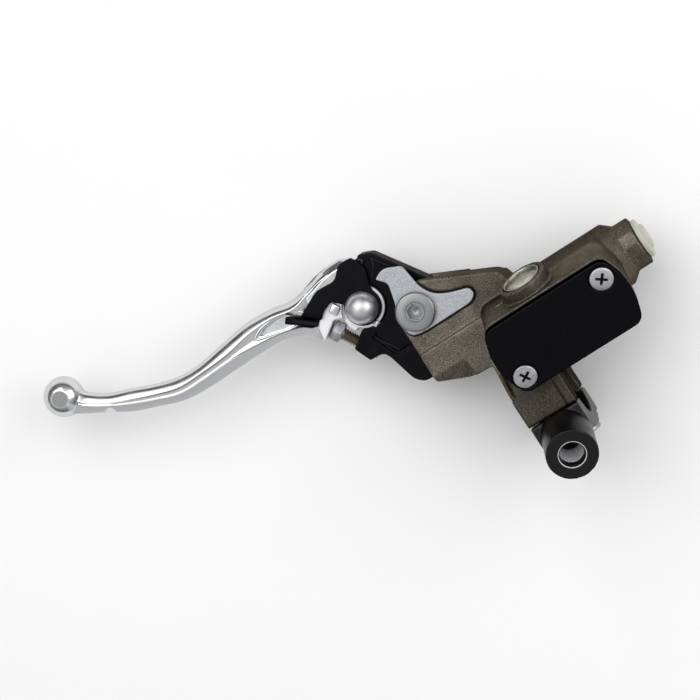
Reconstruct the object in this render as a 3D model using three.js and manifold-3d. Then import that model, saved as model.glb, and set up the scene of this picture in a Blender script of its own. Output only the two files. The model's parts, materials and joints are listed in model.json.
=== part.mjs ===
// Motorcycle brake master cylinder: clamp-on body with a reservoir, a piston train in the bore,
// and a two-piece lever with an adjustable reach.
// Millimetres. Origin on the handlebar's axis in the middle of the clamp, +X along the bar towards
// the outlet, +Y forward away from the rider, +Z along the lever's pivot axis.
import * as THREE from 'three';
import { mergeVertices } from 'three/addons/utils/BufferGeometryUtils.js';
import Module from 'manifold-3d';

const wasm = await Module();
wasm.setup();

// ---------------------------------------------------------------- driving dimensions
const GAP = 0.3;                          // clearance between touching pieces
const BAR_R = 11.1;                       // 22.2 mm handlebar
const CLAMP = { left: -10.6, right: 10.4, split: -3, ringR: 16.7, earZ: 20.8 };
const BOLT = { r: 3, z: 15.8, offset: 3.6, end: 9, flangeR: 6.4, headR: 5, headH: 6 };
const BOLT_SEAT = { upper: -22, lower: -13.8 };
const MIRROR = { top: [0, -18.2, 36], r: 10.15, threadR: 4.7, mouthR: 5.4, depth: 15, length: 25 };
const TILT = THREE.MathUtils.degToRad(18); // lid leans back, level when the lever points down
const BORE = { y: 34.7, r: 7.94, mouth: -20.5, seat: -16.5, end: 47, recessR: 9.4, seatR: 8.9 };
const BARREL = { r: 13.3, x0: -6, x1: 53.5 };
const OUTLET = { r: 9.7, neckR: 9, x1: 61.7, portR: 4.2, threadR: 4.7, threadX: 53 };
const EAR = { z: 12.5, slotZ: 6.5 };
const PIVOT = { x: -24, y: 58, r: 5, bushR: 6.5, headR: 7.75, socketR: 3.46 };
const PLATE = { z0: 11.7, z1: 14.6 };     // bright plate under the pivot bolt's head
const LID = { x: 22.8, v: 0.3, w: 14.9, h0: 32.4, h1: 36 };
const TANK = { wall: 3, floor: 13.5, top: 30.6, foot: 2 };
const LID_SCREW = { dx: 22.25, dv: 8.45, r: 2.5, headR: 4.65, headH: 2.6, length: 12 };
const SIGHT = { x: 18, h: 18.3, face: 19.6, r: 10, seat: 15.5, holeR: 8.2, windowR: 6 };
const LEVER_Z = 6;                        // half thickness of the lever's root
const PIN = { x: -41.6, y: 70.2, r: 3, ballR: 6.5, ballZ: 11.2 };
const FORK_Z = 2.6;                       // half height of the blade's fork slot
const BLADE_Z = 6.2;
const TIP = { x: -163.6, y: 104, r: 8.1 };
const SCREW = { x: -57.35, y: 69.15, dirX: 0.507, dirY: -0.862 };
const SCREW_SIZE = { r: 2.5, headR: 4.55, headH: 4.5, length: 20.5 };
const COVER = { z0: 6.6, z1: 8.6 };

// ---------------------------------------------------------------- helpers
// Turns a closed three.js geometry into a manifold solid.
function solid(geometry) {
  const plain = geometry.clone();
  plain.deleteAttribute('normal');
  plain.deleteAttribute('uv');
  const merged = mergeVertices(plain, 1e-4);
  const vertProperties = new Float32Array(merged.attributes.position.array);
  const triVerts = new Uint32Array(merged.index.array);
  return new wasm.Manifold(new wasm.Mesh({ numProp: 3, vertProperties, triVerts }));
}

// Turns a manifold solid back into a three.js geometry.
function geometryOf(body) {
  const mesh = body.getMesh();
  const geometry = new THREE.BufferGeometry();
  geometry.setAttribute('position', new THREE.BufferAttribute(new Float32Array(mesh.vertProperties), 3));
  geometry.setIndex(new THREE.BufferAttribute(new Uint32Array(mesh.triVerts), 1));
  return geometry;
}

const join = (...pieces) => pieces.reduce((sum, piece) => sum.add(piece));
const cut = (body, ...tools) => tools.reduce((rest, tool) => rest.subtract(tool), body);

// Moves each corner of a counter-clockwise outline outwards by a distance.
function grow(corners, distance) {
  return corners.map(([x, y, r = 0], i) => {
    const before = corners[(i + corners.length - 1) % corners.length];
    const after = corners[(i + 1) % corners.length];
    const into = new THREE.Vector2(x - before[0], y - before[1]).normalize();
    const out = new THREE.Vector2(after[0] - x, after[1] - y).normalize();
    const side = new THREE.Vector2(into.y + out.y, -into.x - out.x).normalize();
    const reach = distance / Math.max(0.5, side.dot(new THREE.Vector2(into.y, -into.x)));
    return [x + side.x * reach, y + side.y * reach, r];
  });
}

// Closed outline through corners [x, y, rounding]; the rounding is the length of edge it uses,
// at most just under half of each edge.
function outline(corners) {
  const shape = new THREE.Shape();
  corners.forEach(([x, y, wanted = 0], i) => {
    const here = new THREE.Vector2(x, y);
    const before = new THREE.Vector2(...corners[(i + corners.length - 1) % corners.length]).sub(here);
    const after = new THREE.Vector2(...corners[(i + 1) % corners.length]).sub(here);
    const rounding = Math.min(wanted, 0.48 * before.length(), 0.48 * after.length());
    const start = before.setLength(rounding).add(here);
    const end = after.setLength(rounding).add(here);
    if (i === 0) shape.moveTo(start.x, start.y);
    else shape.lineTo(start.x, start.y);
    if (rounding > 0) shape.quadraticCurveTo(x, y, end.x, end.y);
  });
  return shape;
}

// Outline extruded from z0 to z1.
function slab(corners, z0, z1, curveSegments = 3) {
  const options = { depth: z1 - z0, bevelEnabled: false, curveSegments };
  return new THREE.ExtrudeGeometry(outline(corners), options).translate(0, 0, z0);
}

// Outline drawn in (y, z) and extruded from x0 to x1.
function slabAlongX(corners, x0, x1) {
  const axes = new THREE.Matrix4().makeBasis(
    new THREE.Vector3(0, 1, 0),
    new THREE.Vector3(0, 0, 1),
    new THREE.Vector3(1, 0, 0),
  );
  return slab(corners, x0, x1).applyMatrix4(axes);
}

// Cylinders along each axis, placed by the point on the axis and the two ends.
function postZ(x, y, r, z0, z1, segments = 24) {
  const post = new THREE.CylinderGeometry(r, r, z1 - z0, segments).rotateX(Math.PI / 2);
  return post.translate(x, y, (z0 + z1) / 2);
}
function postX(y, z, r, x0, x1, segments = 24) {
  const post = new THREE.CylinderGeometry(r, r, x1 - x0, segments).rotateZ(Math.PI / 2);
  return post.translate((x0 + x1) / 2, y, z);
}
function postY(x, z, r, y0, y1, segments = 24) {
  return new THREE.CylinderGeometry(r, r, y1 - y0, segments).translate(x, (y0 + y1) / 2, z);
}

// Turned piece about +Z from [radius, z] pairs that close on the axis or on themselves.
function turned(profile, segments = 24) {
  const points = profile.map(([r, z]) => new THREE.Vector2(r, z));
  return new THREE.LatheGeometry(points, segments).rotateX(Math.PI / 2);
}
// The same about +X along the bore.
const turnedOnBore = (profile, segments = 24) =>
  turned(profile, segments).rotateY(Math.PI / 2).translate(0, BORE.y, 0);

// The reservoir's own frame: local z is the lid's normal, local y its forward edge.
const tiltMatrix = new THREE.Matrix4().makeRotationX(TILT).setPosition(0, BORE.y, 0);
const tilted = (geometry) => geometry.applyMatrix4(tiltMatrix);

const paint = (color, roughness, metalness) =>
  new THREE.MeshStandardMaterial({ color, roughness, metalness });
const finish = {
  body: paint(0x6f6860, 0.55, 0.7),
  black: paint(0x17161a, 0.45, 0.3),
  bead: paint(0xa9adb3, 0.5, 0.9),
  polished: paint(0xd0d3d3, 0.18, 1),
  steel: paint(0x9a9d9f, 0.35, 1),
  zinc: paint(0xb9bcc0, 0.3, 1),
  rubber: paint(0x1b1b1b, 0.9, 0),
  brass: paint(0x9a7b5c, 0.4, 0.9),
  glass: paint(0xcfd4c4, 0.08, 0),
  cream: paint(0xd8d6c4, 0.6, 0),
  natural: paint(0xd9d8cf, 0.5, 0),
};

const assembly = new THREE.Group();
const reservoir = new THREE.Group();
reservoir.position.set(0, BORE.y, 0);
reservoir.rotation.x = TILT;
assembly.add(reservoir);

function addTo(parent, name, geometry, material) {
  const mesh = new THREE.Mesh(geometry, material);
  mesh.name = name;
  parent.add(mesh);
}

// ---------------------------------------------------------------- outlines shared by pieces
// Pivot plate: a hook towards the lever's lug, an eye at the pivot and a tail that lies in the body.
const plateOutline = [
  [-31.2, 50.6, 4], [-24.5, 49.6, 2], [-4.2, 49.7, 1.6], [-1.2, 51.6, 1.6], [-1.8, 54.9, 1.6],
  [-9.5, 57.2, 3], [-15.2, 60.4, 3], [-18, 66, 2], [-19.4, 75.6, 1.2], [-26.4, 78.8, 2.4],
  [-30.6, 76.6, 0.6], [-27.2, 72.8, 1.5], [-29.3, 64.4, 1], [-31.4, 60.4, 3],
];

// Reservoir's outline about its own centre, inset by a distance: flat sides and bowed ends.
function tankOutline(inset) {
  const shape = new THREE.Shape();
  const w = LID.w - inset;
  const knee = { x: 27.4 - inset, v: 11.1 - inset };
  const bow = 31.8 - inset;
  const flat = 22.6 - inset / 2;
  shape.moveTo(-flat, -w);
  shape.lineTo(flat, -w);
  shape.quadraticCurveTo(knee.x - 1.2, -w, knee.x, -knee.v);
  shape.quadraticCurveTo(bow, 0, knee.x, knee.v);
  shape.quadraticCurveTo(knee.x - 1.2, w, flat, w);
  shape.lineTo(-flat, w);
  shape.quadraticCurveTo(1.2 - knee.x, w, -knee.x, knee.v);
  shape.quadraticCurveTo(-bow, 0, -knee.x, -knee.v);
  shape.quadraticCurveTo(1.2 - knee.x, -w, -flat, -w);
  return shape;
}
function tankSlab(inset, h0, h1) {
  const options = { depth: h1 - h0, bevelEnabled: false, curveSegments: 4 };
  return new THREE.ExtrudeGeometry(tankOutline(inset), options).translate(LID.x, LID.v, h0);
}
const lidScrewPlaces = [-1, 1].map((side) => ({
  x: LID.x - 0.2 + side * LID_SCREW.dx,
  v: LID.v - 0.15 + side * LID_SCREW.dv,
}));

// ---------------------------------------------------------------- cylinder body
function clevis() {
  const block = solid(slab([
    [-32.4, 30.6, 0.8], [-20.4, 25, 1.5], [-14, 24.6, 2], [14, 24, 0], [14, 44, 2],
    [10.8, 54.4, 2.4], [-17.2, 67.6, 1.6], [-27, 66.8, 3], [-32.4, 62, 4],
  ], -EAR.z, EAR.z));
  const raised = solid(slab([
    [-32.4, 30.6, 0.8], [-20.4, 25, 1.5], [-14, 24.6, 2], [6, 24, 0], [6, 42.7, 0], [-32.4, 42.7, 0],
  ], -EAR.z - 0.8, EAR.z + 0.8));
  // Sloping facet on the corner towards the rider, above and below.
  const facet = [[24, 8], [33, EAR.z + 1], [20, EAR.z + 1]];
  const facets = [1, -1].map((side) => {
    const corners = facet.map(([y, z]) => [y, z * side]);
    return solid(slabAlongX(side > 0 ? corners : corners.reverse(), -34, -18.2));
  });
  // The lower ear stops short of the upper one beside the barrel.
  const shortEar = solid(slab([[-1, 58.4], [16, 50.5], [16, 60], [-1, 66]], -EAR.z - 1, -EAR.slotZ));
  return cut(join(block, raised), ...facets, shortEar);
}

function leverSlot() {
  const slot = solid(slab([
    [-36, 18], [BORE.mouth, 18], [BORE.mouth, 45, 3], [-11.4, 52, 5], [-11.4, 76], [-36, 76],
  ], -EAR.slotZ, EAR.slotZ));
  return join(slot, solid(postX(BORE.y, 0, BORE.recessR, -36, BORE.mouth)));
}

// Side view of the arm: full height over the clamp bolts, then down to the barrel.
function armOutline(rise) {
  const z = CLAMP.earZ - 0.9 + rise;
  const face = CLAMP.split + GAP + 0.1;
  return [
    [face, -z, 1], [13, -z, 3], [22, -13.5 - rise, 3], [26, -12 - rise], [26, 12 + rise],
    [22, 13.5 + rise, 3], [13, z, 3], [face, z, 1],
  ];
}

// Arm between the barrel and the handlebar, with a raised rib along each side.
function barArm() {
  const core = solid(slabAlongX(armOutline(0), CLAMP.left, CLAMP.right));
  const ribs = [[CLAMP.left, -9], [6.8, CLAMP.right]].map(([x0, x1]) =>
    solid(slabAlongX(armOutline(0.9), x0, x1)));
  return join(core, ...ribs);
}

function boreTools() {
  const bore = solid(turnedOnBore([
    [0, BORE.mouth - 0.5], [BORE.seatR, BORE.mouth - 0.5], [BORE.seatR, BORE.seat],
    [BORE.r, BORE.seat], [BORE.r, BORE.end], [OUTLET.portR, BORE.end + 3],
    [OUTLET.portR, OUTLET.threadX], [OUTLET.threadR, OUTLET.threadX], [OUTLET.threadR, 64], [0, 64],
  ]));
  const feed = solid(tilted(postZ(0, 0, 2, 5, TANK.floor + 1, 12)));
  const bleedBack = solid(tilted(postZ(14.3, 0, 0.7, 5, TANK.floor + 1, 8)));
  return [bore, feed, bleedBack];
}

function outletBoss() {
  const boss = solid(postX(BORE.y, 0, OUTLET.r / Math.cos(Math.PI / 12), 55.5, OUTLET.x1, 12));
  const neck = solid(postX(BORE.y, 0, OUTLET.neckR, BARREL.x1 - 1, 56.5));
  return join(boss, neck);
}

function cylinderBody() {
  const barrel = solid(turnedOnBore([
    [0, BARREL.x0], [BARREL.r, BARREL.x0], [BARREL.r, BARREL.x1 - 2], [BARREL.r - 3, BARREL.x1 + 1.5],
    [0, BARREL.x1 + 1.5],
  ], 36));
  const tank = solid(tilted(tankSlab(0.5, TANK.foot, TANK.top)));
  const housing = solid(tilted(postY(SIGHT.x, SIGHT.h, SIGHT.r, 10, SIGHT.face)));
  const screwColumns = lidScrewPlaces.map(({ x, v }) =>
    solid(tilted(postZ(x, v, 4.8, TANK.floor - 1, TANK.top + 1, 16))));
  const hollow = cut(solid(tilted(tankSlab(TANK.wall + 0.5, TANK.floor, TANK.top + 1))), ...screwColumns);
  const screwHoles = lidScrewPlaces.map(({ x, v }) =>
    solid(tilted(postZ(x, v, LID_SCREW.r + GAP, TANK.top - 11, TANK.top + 1, 12))));
  const window = solid(tilted(postY(SIGHT.x, SIGHT.h, SIGHT.windowR, 8, SIGHT.face - 1, 24)));
  const windowSeat = solid(tilted(postY(SIGHT.x, SIGHT.h, SIGHT.holeR, SIGHT.seat, SIGHT.face + 1)));
  const pivotBore = solid(postZ(PIVOT.x, PIVOT.y, PIVOT.r + GAP, -20, 20));
  const platePocket = solid(slab(grow(plateOutline, 0.5), PLATE.z0 - GAP, 20));
  const barBore = solid(postX(0, 0, BAR_R, -14, 14, 32));
  const boltHoles = [1, -1].map((side) =>
    solid(postY(-side * BOLT.offset, side * BOLT.z, BOLT.r + GAP, -5, BOLT.end + 1.5, 16)));
  const whole = join(barrel, clevis(), tank, housing, barArm(), outletBoss());
  return cut(whole, leverSlot(), ...boreTools(), hollow, ...screwHoles, window, windowSeat,
    pivotBore, platePocket, barBore, ...boltHoles);
}
addTo(assembly, 'cylinder_body', geometryOf(cylinderBody()), finish.body);

// ---------------------------------------------------------------- handlebar clamp
function clampCap() {
  const face = CLAMP.split - GAP;
  const half = solid(slabAlongX([
    [face, -CLAMP.earZ, 1], [face, CLAMP.earZ, 1], [-13, CLAMP.earZ, 3], [-CLAMP.ringR, 9, 5],
    [-CLAMP.ringR, -7, 5], [BOLT_SEAT.lower, -13, 1], [BOLT_SEAT.lower, -CLAMP.earZ, 2],
  ].reverse(), CLAMP.left, CLAMP.right));
  const lean = new THREE.Matrix4().makeRotationX(TILT).setPosition(...MIRROR.top);
  const boss = solid(postZ(0, 0, MIRROR.r, -MIRROR.length, 0, 36).applyMatrix4(lean));
  const thread = solid(turned([
    [0, -MIRROR.depth], [MIRROR.threadR, -MIRROR.depth], [MIRROR.threadR, -1],
    [MIRROR.mouthR, 0.05], [MIRROR.mouthR, 1], [0, 1],
  ], 24).applyMatrix4(lean));
  const upperPad = solid(postY(-BOLT.offset, BOLT.z, BOLT.flangeR + 0.4, BOLT_SEAT.upper, -8, 24));
  const boltHoles = [1, -1].map((side) =>
    solid(postY(-side * BOLT.offset, side * BOLT.z, BOLT.r + GAP, -30, 0, 16)));
  const spotFaces = [[1, BOLT_SEAT.upper], [-1, BOLT_SEAT.lower]].map(([side, seat]) =>
    solid(postY(-side * BOLT.offset, side * BOLT.z, BOLT.flangeR + 0.5, -32, seat, 24)));
  const barBore = solid(postX(0, 0, BAR_R, -14, 14, 32));
  // Nothing of the cap crosses the split plane.
  const beyond = solid(new THREE.BoxGeometry(40, 30, 60).translate(0, face + 15, 0));
  return cut(join(half, boss, upperPad), thread, ...boltHoles, ...spotFaces, barBore, beyond);
}
addTo(assembly, 'clamp_cap', geometryOf(clampCap()), finish.black);

// Flanged socket-head bolt, its head towards the rider.
function clampBolt(seat) {
  const profile = [
    [0, BOLT.end], [BOLT.r, BOLT.end], [BOLT.r, seat - GAP], [BOLT.flangeR, seat - GAP],
    [BOLT.flangeR, seat - 1.8], [BOLT.headR, seat - 2.2], [BOLT.headR, seat - BOLT.headH],
    [0, seat - BOLT.headH],
  ].reverse();
  const socket = postZ(0, 0, 2.9, seat - BOLT.headH - 1, seat - BOLT.headH + 3, 6);
  const bolt = cut(solid(turned(profile, 20)), solid(socket));
  return geometryOf(bolt).rotateX(-Math.PI / 2);
}
for (const [end, side] of [['upper', 1], ['lower', -1]]) {
  const bolt = clampBolt(BOLT_SEAT[end]).translate(-side * BOLT.offset, 0, side * BOLT.z);
  addTo(assembly, `clamp_bolt_${end}`, bolt, finish.zinc);
}

// ---------------------------------------------------------------- reservoir
function lid() {
  const plate = solid(tankSlab(0, LID.h0, LID.h1));
  const holes = lidScrewPlaces.map(({ x, v }) => join(
    solid(postZ(x, v, LID_SCREW.r + GAP, LID.h0 - 1, LID.h1 + 1, 16)),
    solid(postZ(x, v, LID_SCREW.headR + GAP, LID.h1 - LID_SCREW.headH, LID.h1 + 1, 24)),
  ));
  const hollow = solid(tankSlab(TANK.wall + 1, LID.h0 - 1, LID.h0 + 1.2));
  const pads = lidScrewPlaces.map(({ x, v }) => solid(postZ(x, v, 6, LID.h0 - 2, LID.h0 + 2, 16)));
  return cut(plate, cut(hollow, ...pads), ...holes);
}
addTo(reservoir, 'reservoir_lid', geometryOf(lid()), finish.black);

function diaphragmPlate() {
  const frame = solid(tankSlab(TANK.wall + 1.6, LID.h0 - GAP / 2, LID.h0 + 0.8));
  const keepOut = lidScrewPlaces.map(({ x, v }) => solid(postZ(x, v, 6.5, 20, 40, 16)));
  return cut(frame, ...keepOut);
}
addTo(reservoir, 'diaphragm_plate', geometryOf(diaphragmPlate()), finish.natural);

// Rubber diaphragm: a flange under the lid and a bellows hanging in the reservoir.
function diaphragm() {
  const flange = solid(tankSlab(0.3, TANK.top + GAP, LID.h0 - GAP - 0.2));
  const columns = lidScrewPlaces.map(({ x, v }) => solid(postZ(x, v, 6, 20, 40, 16)));
  const bellows = cut(solid(tankSlab(TANK.wall + 1.6, TANK.top - 7, TANK.top + 1)), ...columns);
  const wells = [-13, 0, 13].map((dx) =>
    solid(slab([
      [LID.x + dx - 4, LID.v - 7, 2], [LID.x + dx + 4, LID.v - 7, 2],
      [LID.x + dx + 4, LID.v + 7, 2], [LID.x + dx - 4, LID.v + 7, 2],
    ], TANK.top - 5.5, LID.h0 + 1)));
  const holes = lidScrewPlaces.map(({ x, v }) => solid(postZ(x, v, LID_SCREW.r + GAP, 20, 40, 12)));
  return cut(join(flange, bellows), ...wells, ...holes);
}
addTo(reservoir, 'diaphragm', geometryOf(diaphragm()), finish.rubber);

// Countersunk-style cross-head screw with its head let into the lid.
function lidScrew() {
  const seat = LID.h1 - LID_SCREW.headH + GAP;
  const shank = solid(turned([
    [0, LID.h1 - LID_SCREW.length - 1], [LID_SCREW.r, LID.h1 - LID_SCREW.length], [LID_SCREW.r, seat],
    [LID_SCREW.headR, seat + 0.8], [LID_SCREW.headR, LID.h1 - 0.1], [LID_SCREW.headR - 0.5, LID.h1 + 0.4],
    [0, LID.h1 + 0.4],
  ], 20));
  const slots = [[4.8, 1.1], [1.1, 4.8]].map(([long, wide]) =>
    solid(new THREE.BoxGeometry(long, wide, 3.2).translate(0, 0, LID.h1)));
  return geometryOf(cut(shank, ...slots));
}
for (const [i, name] of ['lid_screw_rear', 'lid_screw_front'].entries()) {
  const { x, v } = lidScrewPlaces[i];
  addTo(reservoir, name, lidScrew().translate(x, v, 0), finish.zinc);
}

// Sight glass in the forward wall: backing, glass and a bright retaining ring.
const onSight = (geometry) => geometry.rotateX(-Math.PI / 2).translate(SIGHT.x, 0, SIGHT.h);
const glassR = 6.7;
addTo(reservoir, 'sight_backing', onSight(turned([
  [0, 15.8], [glassR, 15.8], [glassR, 16.6], [0, 16.6],
])), finish.cream);
addTo(reservoir, 'sight_glass', onSight(turned([
  [0, 16.9], [glassR, 16.9], [glassR, 18.8], [0, 18.8],
])), finish.glass);
addTo(reservoir, 'sight_ring', onSight(turned([
  [7, 15.8], [7.9, 15.8], [7.9, 19.8], [7, 19.8], [7, 15.8],
])), finish.polished);

// ---------------------------------------------------------------- outlet plug
addTo(assembly, 'outlet_plug', turnedOnBore([
  [0, 54.5], [4.2, 54.5], [4.2, OUTLET.x1 + GAP], [8, OUTLET.x1 + GAP], [8, 63.9], [5.4, 63.9],
  [4.8, 65.4], [0, 65.4],
]), finish.natural);

// ---------------------------------------------------------------- piston train
const pistonR = 7.7;
addTo(assembly, 'piston', turnedOnBore([
  [0, -30], [4.2, -30], [4.8, -29.2], [4.8, -15.7], [pistonR, -15.7], [pistonR, -12.5],
  [5.4, -12.5], [5.4, -9], [pistonR, -9], [pistonR, -7], [5.5, -6], [5.5, 5.5], [pistonR, 6.5],
  [pistonR, 9], [4.5, 9], [4.5, 12.8], [3, 12.8], [3, 16], [0, 16],
]), finish.zinc);
addTo(assembly, 'secondary_cup', turnedOnBore([
  [5.7, -12.2], [pistonR - 0.3, -12.2], [pistonR, -9.3], [6.6, -9.3], [6.3, -10.8], [5.7, -10.8],
  [5.7, -12.2],
], 24), finish.rubber);
addTo(assembly, 'primary_cup', turnedOnBore([
  [4.8, 9.3], [pistonR - 0.3, 9.3], [pistonR, 12.6], [6.7, 12.6], [6.3, 10.9], [4.8, 10.9],
  [4.8, 9.3],
], 24), finish.rubber);

// Compression spring between the piston's nose and the end of the bore.
class Helix extends THREE.Curve {
  constructor(radius, x0, x1, turns) {
    super();
    Object.assign(this, { radius, x0, x1, turns });
  }

  getPoint(t, target = new THREE.Vector3()) {
    const angle = t * this.turns * 2 * Math.PI;
    const x = this.x0 + (this.x1 - this.x0) * t;
    return target.set(x, this.radius * Math.cos(angle), this.radius * Math.sin(angle));
  }
}
function coil(radius, wire, x0, x1, turns, stepsPerTurn = 9) {
  const section = new THREE.Shape();
  section.absarc(0, 0, wire / 2, 0, 2 * Math.PI, false);
  return new THREE.ExtrudeGeometry(section, {
    steps: turns * stepsPerTurn,
    curveSegments: 3,
    bevelEnabled: false,
    extrudePath: new Helix(radius, x0, x1, turns),
  });
}
addTo(assembly, 'return_spring', coil(5.6, 1.4, 13.8, 46.1, 6).translate(0, BORE.y, 0), finish.steel);

addTo(assembly, 'stop_washer', turnedOnBore([
  [5.1, -16.85], [8.6, -16.85], [8.6, -17.7], [5.1, -17.7], [5.1, -16.85],
].reverse(), 24), finish.steel);
addTo(assembly, 'circlip', turnedOnBore([
  [6.6, -18], [8.6, -18], [8.6, -19], [6.6, -19], [6.6, -18],
].reverse(), 24), finish.steel);
addTo(assembly, 'dust_boot', turnedOnBore([
  [5.1, -21.6], [6, -21.6], [8.6, -20.2], [8.6, -19.3], [5.1, -19.3], [5.1, -21.6],
], 24), finish.rubber);

// ---------------------------------------------------------------- lever pivot
const pivotPlate = cut(
  solid(slab(plateOutline, PLATE.z0, PLATE.z1)),
  solid(postZ(PIVOT.x, PIVOT.y, PIVOT.r + GAP, 0, 20)),
);
addTo(assembly, 'pivot_plate', geometryOf(pivotPlate), finish.bead);

const headSeat = PLATE.z1 + GAP;
const pivotBolt = cut(
  solid(turned([
    [0, -19], [3.6, -19], [4, -18.6], [4, -12.3], [PIVOT.r, -12.3], [PIVOT.r, headSeat],
    [PIVOT.headR, headSeat], [PIVOT.headR, headSeat + 1.7], [PIVOT.headR - 0.7, headSeat + 2.3],
    [0, headSeat + 2.3],
  ])),
  solid(postZ(0, 0, PIVOT.socketR, headSeat - 1, headSeat + 3, 6)),
);
const onPivot = (geometry) => geometry.translate(PIVOT.x, PIVOT.y, 0);
addTo(assembly, 'pivot_bolt', onPivot(geometryOf(pivotBolt)), finish.steel);
const pivotNut = cut(
  solid(postZ(0, 0, 7.5, -17.2, -12.8, 6)),
  solid(postZ(0, 0, 4 + GAP, -18, -12, 20)),
);
addTo(assembly, 'pivot_nut', onPivot(geometryOf(pivotNut)), finish.zinc);
addTo(assembly, 'pivot_bush', onPivot(turned([
  [PIVOT.r + GAP, -LEVER_Z], [PIVOT.bushR, -LEVER_Z], [PIVOT.bushR, LEVER_Z],
  [PIVOT.r + GAP, LEVER_Z], [PIVOT.r + GAP, -LEVER_Z],
])), finish.brass);

// ---------------------------------------------------------------- lever root
const screwTurn = Math.atan2(SCREW.dirY, SCREW.dirX);
// Places a piece drawn along +X onto the reach screw's axis.
const onScrew = (geometry) => geometry.rotateZ(screwTurn).translate(SCREW.x, SCREW.y, 0);

function leverBase() {
  const root = solid(slab([
    [-32.8, 88.4, 1], [-34.8, 85, 0.6], [-33.2, 81.4, 1], [-35.6, 77.2, 1], [-46.4, 63.4, 0.5],
    [-53.7, 58.2, 0.6], [-50.7, 51.1, 0.8], [-44.2, 51, 3.4], [-40.2, 36, 1.6], [-36.8, 32.7, 2.6],
    [-30.8, 32.9, 3.2], [-30.4, 43.6, 2.4], [-17.6, 48.8, 4], [-12.8, 54, 4], [-13.6, 65.2, 3],
    [-27.9, 86.3, 1],
  ], -LEVER_Z, LEVER_Z));
  const eyeRoom = solid(postZ(PIN.x, PIN.y, 9.2, -10, 10));
  const tongue = join(
    solid(postZ(PIN.x, PIN.y, 7, -FORK_Z + GAP, FORK_Z - GAP)),
    solid(slab([
      [-43, 63.6], [-37.5, 60], [-31, 66], [-32.5, 75], [-38.6, 76.4],
    ], -FORK_Z + GAP, FORK_Z - GAP)),
  );
  const pinHole = solid(postZ(PIN.x, PIN.y, PIN.r + GAP, -10, 10, 20));
  const bushHole = solid(postZ(PIVOT.x, PIVOT.y, PIVOT.bushR + GAP, -10, 10));
  const screwHole = solid(onScrew(postX(0, 0, SCREW_SIZE.r + GAP, 5, 26, 16)));
  const springSeat = solid(postX(82.6, 0, 2.6, -36, -31.6, 16));
  // Groove that sets off the raised panel beside the pivot.
  const groove = solid(slab([
    [-44.9, 59], [-45.2, 57.4], [-41, 47.6], [-39.2, 46.9], [-34, 47.2], [-34, 48.6], [-38.6, 48.4],
    [-39.8, 49], [-43.4, 57.8], [-43, 59],
  ], LEVER_Z - 0.9, LEVER_Z + 1));
  return cut(join(cut(root, eyeRoom), tongue), pinHole, bushHole, screwHole, springSeat, groove);
}
addTo(assembly, 'lever_base', geometryOf(leverBase()), finish.black);

// ---------------------------------------------------------------- lever blade
// Centre line of the finger part from the ball end to the head: [x, y, half width, half thickness].
const bladeStations = [
  [-158.4, 98.4, 4.4, 4.3], [-149.4, 92.4, 4.6, 4.3], [-140.3, 88.1, 4.5, 4.3],
  [-131, 84.5, 4.4, 4.4], [-121.5, 81.6, 4.7, 4.7], [-110.5, 80.6, 5.1, 5], [-98.4, 81.5, 5.8, 5.4],
  [-86.3, 82.4, 6.3, 5.7], [-75.3, 81.8, 6.6, 5.9], [-66, 80.6, 7, 6],
];

// Solid swept through the stations with an eight-cornered section, ends closed.
function finger() {
  const line = new THREE.CatmullRomCurve3(bladeStations.map(([x, y]) => new THREE.Vector3(x, y, 0)));
  const sizes = new THREE.CatmullRomCurve3(bladeStations.map(([, , w, t]) => new THREE.Vector3(w, t, 0)));
  const steps = 22;
  const corners = [[1, 0.35], [0.6, 0.86], [0, 1], [-0.6, 0.9], [-1, 0.4]];
  const section = [...corners, ...corners.slice().reverse().map(([a, b]) => [a, -b])];
  const positions = [];
  const index = [];
  for (let i = 0; i <= steps; i += 1) {
    const centre = line.getPoint(i / steps);
    const along = line.getTangent(i / steps);
    const size = sizes.getPoint(i / steps);
    for (const [a, b] of section) {
      positions.push(centre.x - along.y * a * size.x, centre.y + along.x * a * size.x, b * size.y);
    }
  }
  const n = section.length;
  for (let i = 0; i < steps; i += 1) {
    for (let j = 0; j < n; j += 1) {
      const a = i * n + j;
      const b = i * n + ((j + 1) % n);
      index.push(a, b, a + n, b, b + n, a + n);
    }
  }
  for (let j = 1; j < n - 1; j += 1) {
    const last = steps * n;
    index.push(0, j + 1, j, last, last + j, last + j + 1);
  }
  const geometry = new THREE.BufferGeometry();
  geometry.setAttribute('position', new THREE.Float32BufferAttribute(positions, 3));
  geometry.setIndex(index);
  return geometry;
}

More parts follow.
